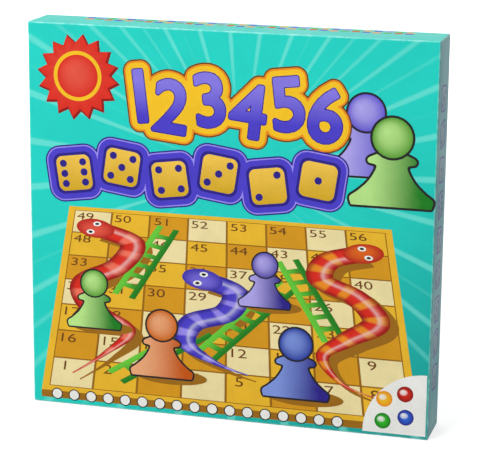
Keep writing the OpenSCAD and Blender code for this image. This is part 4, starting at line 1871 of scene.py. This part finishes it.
@dataclass
class TrayArt:
    """Print on the back of the tray: a small board, pawns and dice on a pale panel.

    Attributes:
        box: the tray that it lies on.
        painter: draws the motifs.
    """

    box: WrappedBox
    painter: Painter

    def build(self) -> None:
        """Prints the back of the tray."""
        paint = self.painter
        film = paint.film(self.box.face())
        film.fill(1, rounded((0, 232), width=318, height=196, radius=12), Ink.YELLOW.light)
        panel = rounded((0, 232), width=310, height=188, radius=9)
        film.fill(2, panel, blend(Ink.CREAM.light, Ink.WHITE.light, 0.4))
        board = SlantedBoard(near=66, far=66, low=160, high=292, columns=6, rows=6)
        shift, lift = -78.0, 6

        def moved(x: float, y: float) -> Point:
            """The small board's place on the panel."""
            u, v = board.warp(x, y)
            return u + shift, v + lift

        mesh = paint.shapes.grid.run(columns=6, rows=6, width=132.0, height=board.span, **paint.SMALL)
        film.lay(3, mesh, warp=moved)
        paint.ladder(film, 4, (-44, 10), (-20, 76), 11, moved)
        paint.ladder(film, 4, (30, 54), (52, 120), 11, moved)
        long = [(20, 116), (34, 96), (12, 74), (26, 50), (10, 26), (24, 8)]
        short = [(-50, 118), (-34, 104), (-48, 86), (-30, 68), (-52, 48)]
        paint.snake(film, 5, long, 13, RED_SNAKE, moved)
        paint.snake(film, 5, short, 12, VIOLET_SNAKE, moved)
        inks = (
            (Ink.ORANGE, Ink.RUST), (Ink.LIME, Ink.FOREST), (Ink.BLUE, Ink.INDIGO), (Ink.LILAC, Ink.VIOLET)
        )
        for i, (ink, dark) in enumerate(inks):
            paint.pawn(film, 3, (24 + 37.0 * i, 232), 34, ink, dark)
        for i in range(3):
            paint.die(film, 3, (38 + 38.0 * i, 188), 28, 2 * i + 1, 8 - 8 * i, Ink.YELLOW, Ink.VIOLET)
        pale = blend(Ink.RAY.light, Ink.WHITE.light, 0.4)
        for row in range(4):
            width = 280 if row < 3 else 170
            bar = rounded((140 - width / 2, 104 - 13.0 * row), width, height=3.4, radius=1.6)
            film.fill(1, bar, pale)
        film.fill(1, rounded((118, 34), width=62, height=34, radius=3), Ink.WHITE.light)
        film.build("tray_back_print", self.box.body, self.box.slot)


@dataclass
class BoardArt:
    """The playing board: its sheet and the numbered grid with snakes and ladders on it.

    Attributes:
        painter: draws the motifs.
        squares: cells along each side.
        border: width of the printed border.
    """

    PAPER = 0.11  # thickness of the sheet in millimetres
    TRIM = 0.4  # how much smaller it is than the solid
    ROUND = 2.5  # radius of its corners
    WIDE = (0.46, 0.42, 0.45)  # width of a ladder and of a snake, and how far a snake sways, in cells
    # Foot and head of each ladder, and head and tail of each snake, by the numbers of their cells.
    LADDERS = ((4, 25), (13, 46), (33, 49), (42, 63), (50, 69), (62, 81), (74, 92))
    SNAKES = ((27, 5), (40, 3), (54, 31), (66, 45), (89, 53), (95, 77), (99, 41))
    # Inks that the snakes take in turn.
    INKS = (
        RED_SNAKE,
        (Ink.GREEN, Ink.LIME, Ink.FOREST),
        VIOLET_SNAKE,
        (Ink.ORANGE, Ink.YELLOW, Ink.BROWN),
    )

    painter: Painter
    squares: int = 10
    border: float = 9.0

    def build(self) -> None:
        """Makes the sheet and its print in place of the plain sheet."""
        low, high = (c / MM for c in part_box("board_print"))
        width, height = high.x - low.x, high.z - low.z
        sheet = self._sheet(low, high)
        publish(sheet, "board", "board_print", "board_print")
        origin = Vector((0.0, high.y - self.PAPER, low.z)) * MM
        film = self.painter.film(Face(origin, X_AXIS, Z_AXIS))
        film.fill(1, rounded((0, height / 2), width - 3, height - 3, 3), Ink.VIOLET.light)
        half = width / 2 - self.border
        board = SlantedBoard(half, half, self.border, height - self.border, self.squares, self.squares)
        self.painter.cells(film, 2, board, (Ink.CREAM, Ink.GOLD, Ink.SKY), numbers=0.22)
        ladder, snake, sway = (board.side * share for share in self.WIDE)
        for foot, head in self.LADDERS:
            self.painter.ladder(film, 4, board.cell(foot), board.cell(head), ladder, board.warp)
        for i, (head, tail) in enumerate(self.SNAKES):
            path = self._wave(board.cell(head), board.cell(tail), sway)
            self.painter.snake(film, 5, path, snake, self.INKS[i % len(self.INKS)], board.warp)
        film.build("playing_board_print", "board", "board_print")

    @staticmethod
    def _wave(head: Point, tail: Point, sway: float) -> list[Point]:
        """A path that sways from side to side between two places.

        Args:
            head: where it starts.
            tail: where it ends.
            sway: how far it sways.

        Returns:
            Places along the path.
        """
        dx, dy = tail[0] - head[0], tail[1] - head[1]
        length = math.hypot(dx, dy)
        steps = max(4, round(length / (2.6 * sway)))
        sides = [0.0 if i in (0, steps) else (sway if i % 2 else -sway) for i in range(steps + 1)]
        return [
            (head[0] + dx * i / steps - dy / length * s, head[1] + dy * i / steps + dx / length * s)
            for i, s in enumerate(sides)
        ]

    def _sheet(self, low: Vector, high: Vector) -> Piece:
        """Paper of the board, a little thinner than its solid so that the print has room.

        Args:
            low: lowest corner of the solid in millimetres.
            high: its highest corner.

        Returns:
            The piece.
        """
        mesh = bpy.data.meshes.new("board_sheet")
        made = bmesh.new()
        bmesh.ops.create_cube(made, size=1.0)
        size = Vector((high.x - low.x - self.TRIM, self.PAPER, high.z - low.z - self.TRIM))
        middle = Vector(((low.x + high.x) / 2, high.y - size.y / 2, (low.z + high.z) / 2))
        fit = Matrix.Translation(middle * MM) @ Matrix.Diagonal((*(size * MM), 1.0))
        bmesh.ops.transform(made, matrix=fit, verts=made.verts)
        short = [e for e in made.edges if abs((e.verts[0].co - e.verts[1].co).y) > 1e-6]
        bmesh.ops.bevel(made, geom=short, offset=self.ROUND * MM, segments=5, affect="EDGES")
        made.to_mesh(mesh)
        made.free()
        mesh.materials.append(Finishes.PAPER.material())
        return place("board_sheet", mesh)


@dataclass
class LeafletArt:
    """Print on the front of the leaflet: a bar, a small board and grey lines.

    Attributes:
        painter: draws the motifs.
    """

    painter: Painter

    def build(self) -> None:
        """Prints the leaflet's front."""
        low, high = (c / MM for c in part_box("leaflet"))
        wide, tall = high.x - low.x, high.z - low.z
        film = self.painter.film(Face(Vector((0.0, low.y, low.z)) * MM, X_AXIS, Z_AXIS))
        bar = rounded((0, tall - 22), wide - 16, height=22, radius=4)
        film.fill(1, bar, Ink.TURQUOISE.light)
        for i in range(5):
            at = (-48 + 24.0 * i, tall - 22)
            self.painter.die(film, 2, at, 14, i + 1, 6 - 3 * i, Ink.YELLOW, Ink.VIOLET)
        sizes = {"columns": 5, "rows": 5, "width": 60.0, "height": 60.0}
        film.lay(1, self.painter.shapes.grid.run(**sizes, **self.painter.SMALL), (-34, 110))
        self.painter.ladder(film, 2, (-52, 118), (-40, 158), 7)
        path = [(-16, 164), (-10, 150), (-22, 138), (-12, 124), (-20, 114)]
        self.painter.snake(film, 3, path, 7, RED_SNAKE)
        for i in range(7):
            line = rounded((36, 166 - 8.5 * i), 56 if i % 3 else 46, height=2.6, radius=1.2)
            film.fill(1, line, Ink.GREY.light)
        for i in range(11):
            middle, length = (-4, 108) if i % 4 == 3 else (0, 128)
            line = rounded((middle, 98 - 8.0 * i), length, height=2.4, radius=1.1)
            film.fill(1, line, Ink.GREY.light)
        film.build("leaflet_print", "leaflet", "paper")


@dataclass
class GamePieces:
    """The moulded pieces and the card insert, which keep their solids and get their finishes.

    Attributes:
        nodes: CAD objects by name.
        painter: gives the tree of the pips.
        edge: edge of the die in millimetres.
        pip: radius of a pip.
        sunk: depth of the paint in a pip.
        paint: thickness of the paint.
        finishes: each finish, and how the names of its nodes start.
    """

    nodes: dict[str, Piece]
    painter: Painter
    edge: float = 16.0
    pip: float = 1.42
    sunk: float = 0.3
    paint: float = 0.15
    finishes: tuple[tuple[Finish, tuple[str, ...]], ...] = (
        (Finishes.GREYBOARD, ("board_core",)),
        (Finishes.PAPER, ("leaflet",)),
        (Finishes.CARD, ("insert", "shelf", "divider", "row")),
        (Finishes.RED, ("slide", "counter_red")),
        (Finishes.GREEN, ("ladder", "counter_green")),
        (Finishes.VIOLET, ("support", "tower", "wheel", "steps")),
        (Finishes.YELLOW, ("counter_yellow",)),
        (Finishes.BLUE, ("counter_blue",)),
        (Finishes.CLEAR, ("dome",)),
        (Finishes.IVORY, ("die",)),
    )

    def build(self) -> None:
        """Gives each solid its finish and paints the pips."""
        for finish, starts in self.finishes:
            for name, node in self.nodes.items():
                if name.startswith(starts):
                    node.data.materials.clear()
                    node.data.materials.append(finish.material())
                    LOG.info("%s in %s", name, finish.name)
        self._pips()

    def _pips(self) -> None:
        """Paint in the pips of the die."""
        low, high = (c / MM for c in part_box("die"))
        middle = (low + high) / 2
        upright = Matrix.Rotation(math.radians(90), 3, "X")
        turns = ((0, 0, 0), (90, 0, 0), (0, 90, 0), (0, -90, 0), (-90, 0, 0), (180, 0, 0))
        joined = bmesh.new()
        for count, turn in enumerate(turns, 1):
            spin = Matrix.Identity(3)
            for angle, axis in zip(turn, "XYZ"):
                spin = Matrix.Rotation(math.radians(angle), 3, axis) @ spin
            spin = upright @ spin
            step = self.edge / 4
            spots = [
                spin @ Vector((x * step, y * step, self.edge / 2 - self.sunk)) + middle
                for x, y in pips(count)
            ]
            places = [tuple(p * MM) for p in spots]
            facing = {"turn": Vector(spin.to_euler()), "tone": Ink.BLACK.light}
            mesh = self.painter.shapes.dots.run(places, radius=self.pip * MM, **facing)
            joined.from_mesh(mesh)
            bpy.data.meshes.remove(mesh)
        mesh = bpy.data.meshes.new("die_pips")
        joined.to_mesh(mesh)
        joined.free()
        mesh.materials.append(Finishes.PIP.material())
        paint = place("die_pips", mesh)
        wall = paint.modifiers.new("paint", "SOLIDIFY")
        wall.thickness = self.paint * MM
        wall.offset = -1.0
        publish(paint, "insert", "die_plastic")


@dataclass
class Studio:
    """Floor, soft light and the camera at the photograph's angle.

    Attributes:
        eye: place of the camera.
        azimuth: degrees that the camera stands to the right of the front.
        elevation: degrees that it looks down.
        roll: degrees that it is turned about its own axis.
        focus: focal length in pixels of the photograph.
        ambient: strength of the light from all round.
    """

    # Name, place, edge and power of each lamp, and whether gloss mirrors it.
    LAMPS = (
        ("key", (-1.3, -2.3, 1.8), 1.6, 72.0, True),
        ("fill", (1.9, -1.6, 1.2), 1.8, 2.0, True),
        ("top", (-0.3, 0.4, 2.4), 1.6, 12.0, True),
        ("back", (-0.8, 2.3, 0.35), 1.4, 34.0, False),
    )
    AIM = Vector((0.0, 0.0, 0.18))  # place that they look at

    eye: Vector = field(default_factory=lambda: Vector((0.467, -1.6603, 0.6061)))
    azimuth: float = 15.54
    elevation: float = 13.98
    roll: float = 0.52
    focus: float = 1936.6
    ambient: float = 0.38

    def build(self) -> None:
        """Sets the stage."""
        scene = bpy.context.scene
        scene.view_settings.view_transform = "Standard"
        self._camera(scene)
        self._world(scene)
        self._floor()
        for lamp in self.LAMPS:
            self._lamp(*lamp)

    def _camera(self, scene: bpy.types.Scene) -> None:
        """Camera of the photograph.

        Args:
            scene: scene that it belongs to.
        """
        data = bpy.data.cameras.new("photo_camera")
        data.sensor_fit = "HORIZONTAL"
        data.sensor_width = 36.0
        data.lens = self.focus * data.sensor_width / PHOTO_W
        data.clip_end = 50.0
        camera = place("photo_camera", data)
        a, e, r = (math.radians(v) for v in (self.azimuth, self.elevation, self.roll))
        back = Vector((math.sin(a) * math.cos(e), -math.cos(a) * math.cos(e), math.sin(e)))
        right = (-back).cross(Z_AXIS).normalized()
        up = back.cross(right)
        right, up = right * math.cos(r) + up * math.sin(r), up * math.cos(r) - right * math.sin(r)
        turn = Matrix((right, up, back)).transposed().to_4x4()
        camera.matrix_world = Matrix.Translation(self.eye) @ turn
        scene.camera = camera

    def _world(self, scene: bpy.types.Scene) -> None:
        """Even light that shows white to the camera and in gloss.

        Args:
            scene: scene that it lights.
        """
        world = bpy.data.worlds.new("studio")
        scene.world = world
        world.use_nodes = True
        world.node_tree.nodes.clear()
        graph = Graph(world.node_tree)
        strength = graph.ramp(graph.shown(), low=0.0, high=1.0, to=(self.ambient, 1.0))
        light = graph.add("ShaderNodeBackground", {"Color": (1.0, 1.0, 1.0, 1.0), "Strength": strength})
        graph.add("ShaderNodeOutputWorld", {"Surface": light.outputs[0]})

    @staticmethod
    def _floor() -> None:
        """Plain white floor a hair under the box, which keeps the shadow."""
        reach, below = 30.0, 0.0002
        mesh = bpy.data.meshes.new("floor")
        square = [(-reach, -reach, 0), (reach, -reach, 0), (reach, reach, 0), (-reach, reach, 0)]
        mesh.from_pydata(square, [], [(0, 1, 2, 3)])
        made = bpy.data.materials.new("white_floor")
        made.use_nodes = True
        made.node_tree.nodes.clear()
        graph = Graph(made.node_tree)
        coords = graph.add("ShaderNodeTexCoord").outputs["Object"]
        tone = graph.mix(graph.noise(coords, scale=3.0), (0.5, 0.5, 0.5), (0.52, 0.52, 0.52))
        places = {
            "Base Color": tone,
            "Roughness": 0.9,
            "Specular IOR Level": 0.0,
            "Emission Color": (1.0, 1.0, 1.0, 1.0),
        }
        away = graph.add("ShaderNodeVectorMath", {0: coords}, operation="LENGTH").outputs["Value"]
        white = graph.math("MULTIPLY", graph.shown(), graph.ramp(away, low=0.8, high=2.0, to=(0.7, 1.0)))
        shader = graph.add("ShaderNodeBsdfPrincipled", {**places, "Emission Strength": white})
        graph.add("ShaderNodeOutputMaterial", {"Surface": shader.outputs[0]})
        mesh.materials.append(made)
        floor = place("floor", mesh)
        floor.location.z = -below

    def _lamp(
        self, name: str, at: tuple[float, float, float], size: float, power: float, gloss: bool
    ) -> None:
        """Hangs a soft lamp that looks at the middle of the box.

        Args:
            name: name of the lamp.
            at: its place in metres.
            size: its edge in metres.
            power: its power in watts.
            gloss: whether glossy surfaces mirror it.
        """
        data = bpy.data.lights.new(name, "AREA")
        data.size = size
        data.energy = power
        lamp = place(name, data)
        lamp.visible_glossy = gloss
        aim = self.AIM - Vector(at)
        lamp.matrix_world = Matrix.Translation(at) @ aim.to_track_quat("-Z", "Y").to_matrix().to_4x4()


def main() -> None:
    """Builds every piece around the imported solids."""
    logging.basicConfig(level=logging.INFO, format="%(name)s: %(message)s")
    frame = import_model()
    Studio().build()
    painter = Painter(Shapes(), Glyphs())
    wide = {"width": 380.0, "height": 363.0, "depth": 48.0, "face_y": -25.5, "inward": 1.0}
    lid = WrappedBox("lid", "lid", **wide, ground=Finishes.LID, slot="lid_print")
    narrow = {"width": 373.4, "height": 356.4, "depth": 48.7, "face_y": 25.5, "inward": -1.0}
    tray = WrappedBox("tray", "tray", **narrow, ground=Finishes.TRAY, slot="tray_print")
    for half in (lid, tray):
        half.build()
    LidArt(lid, painter).build()
    TrayArt(tray, painter).build()
    BoardArt(painter).build()
    LeafletArt(painter).build()
    GamePieces(frame["nodes"], painter).build()


if __name__ == "__main__":
    main()
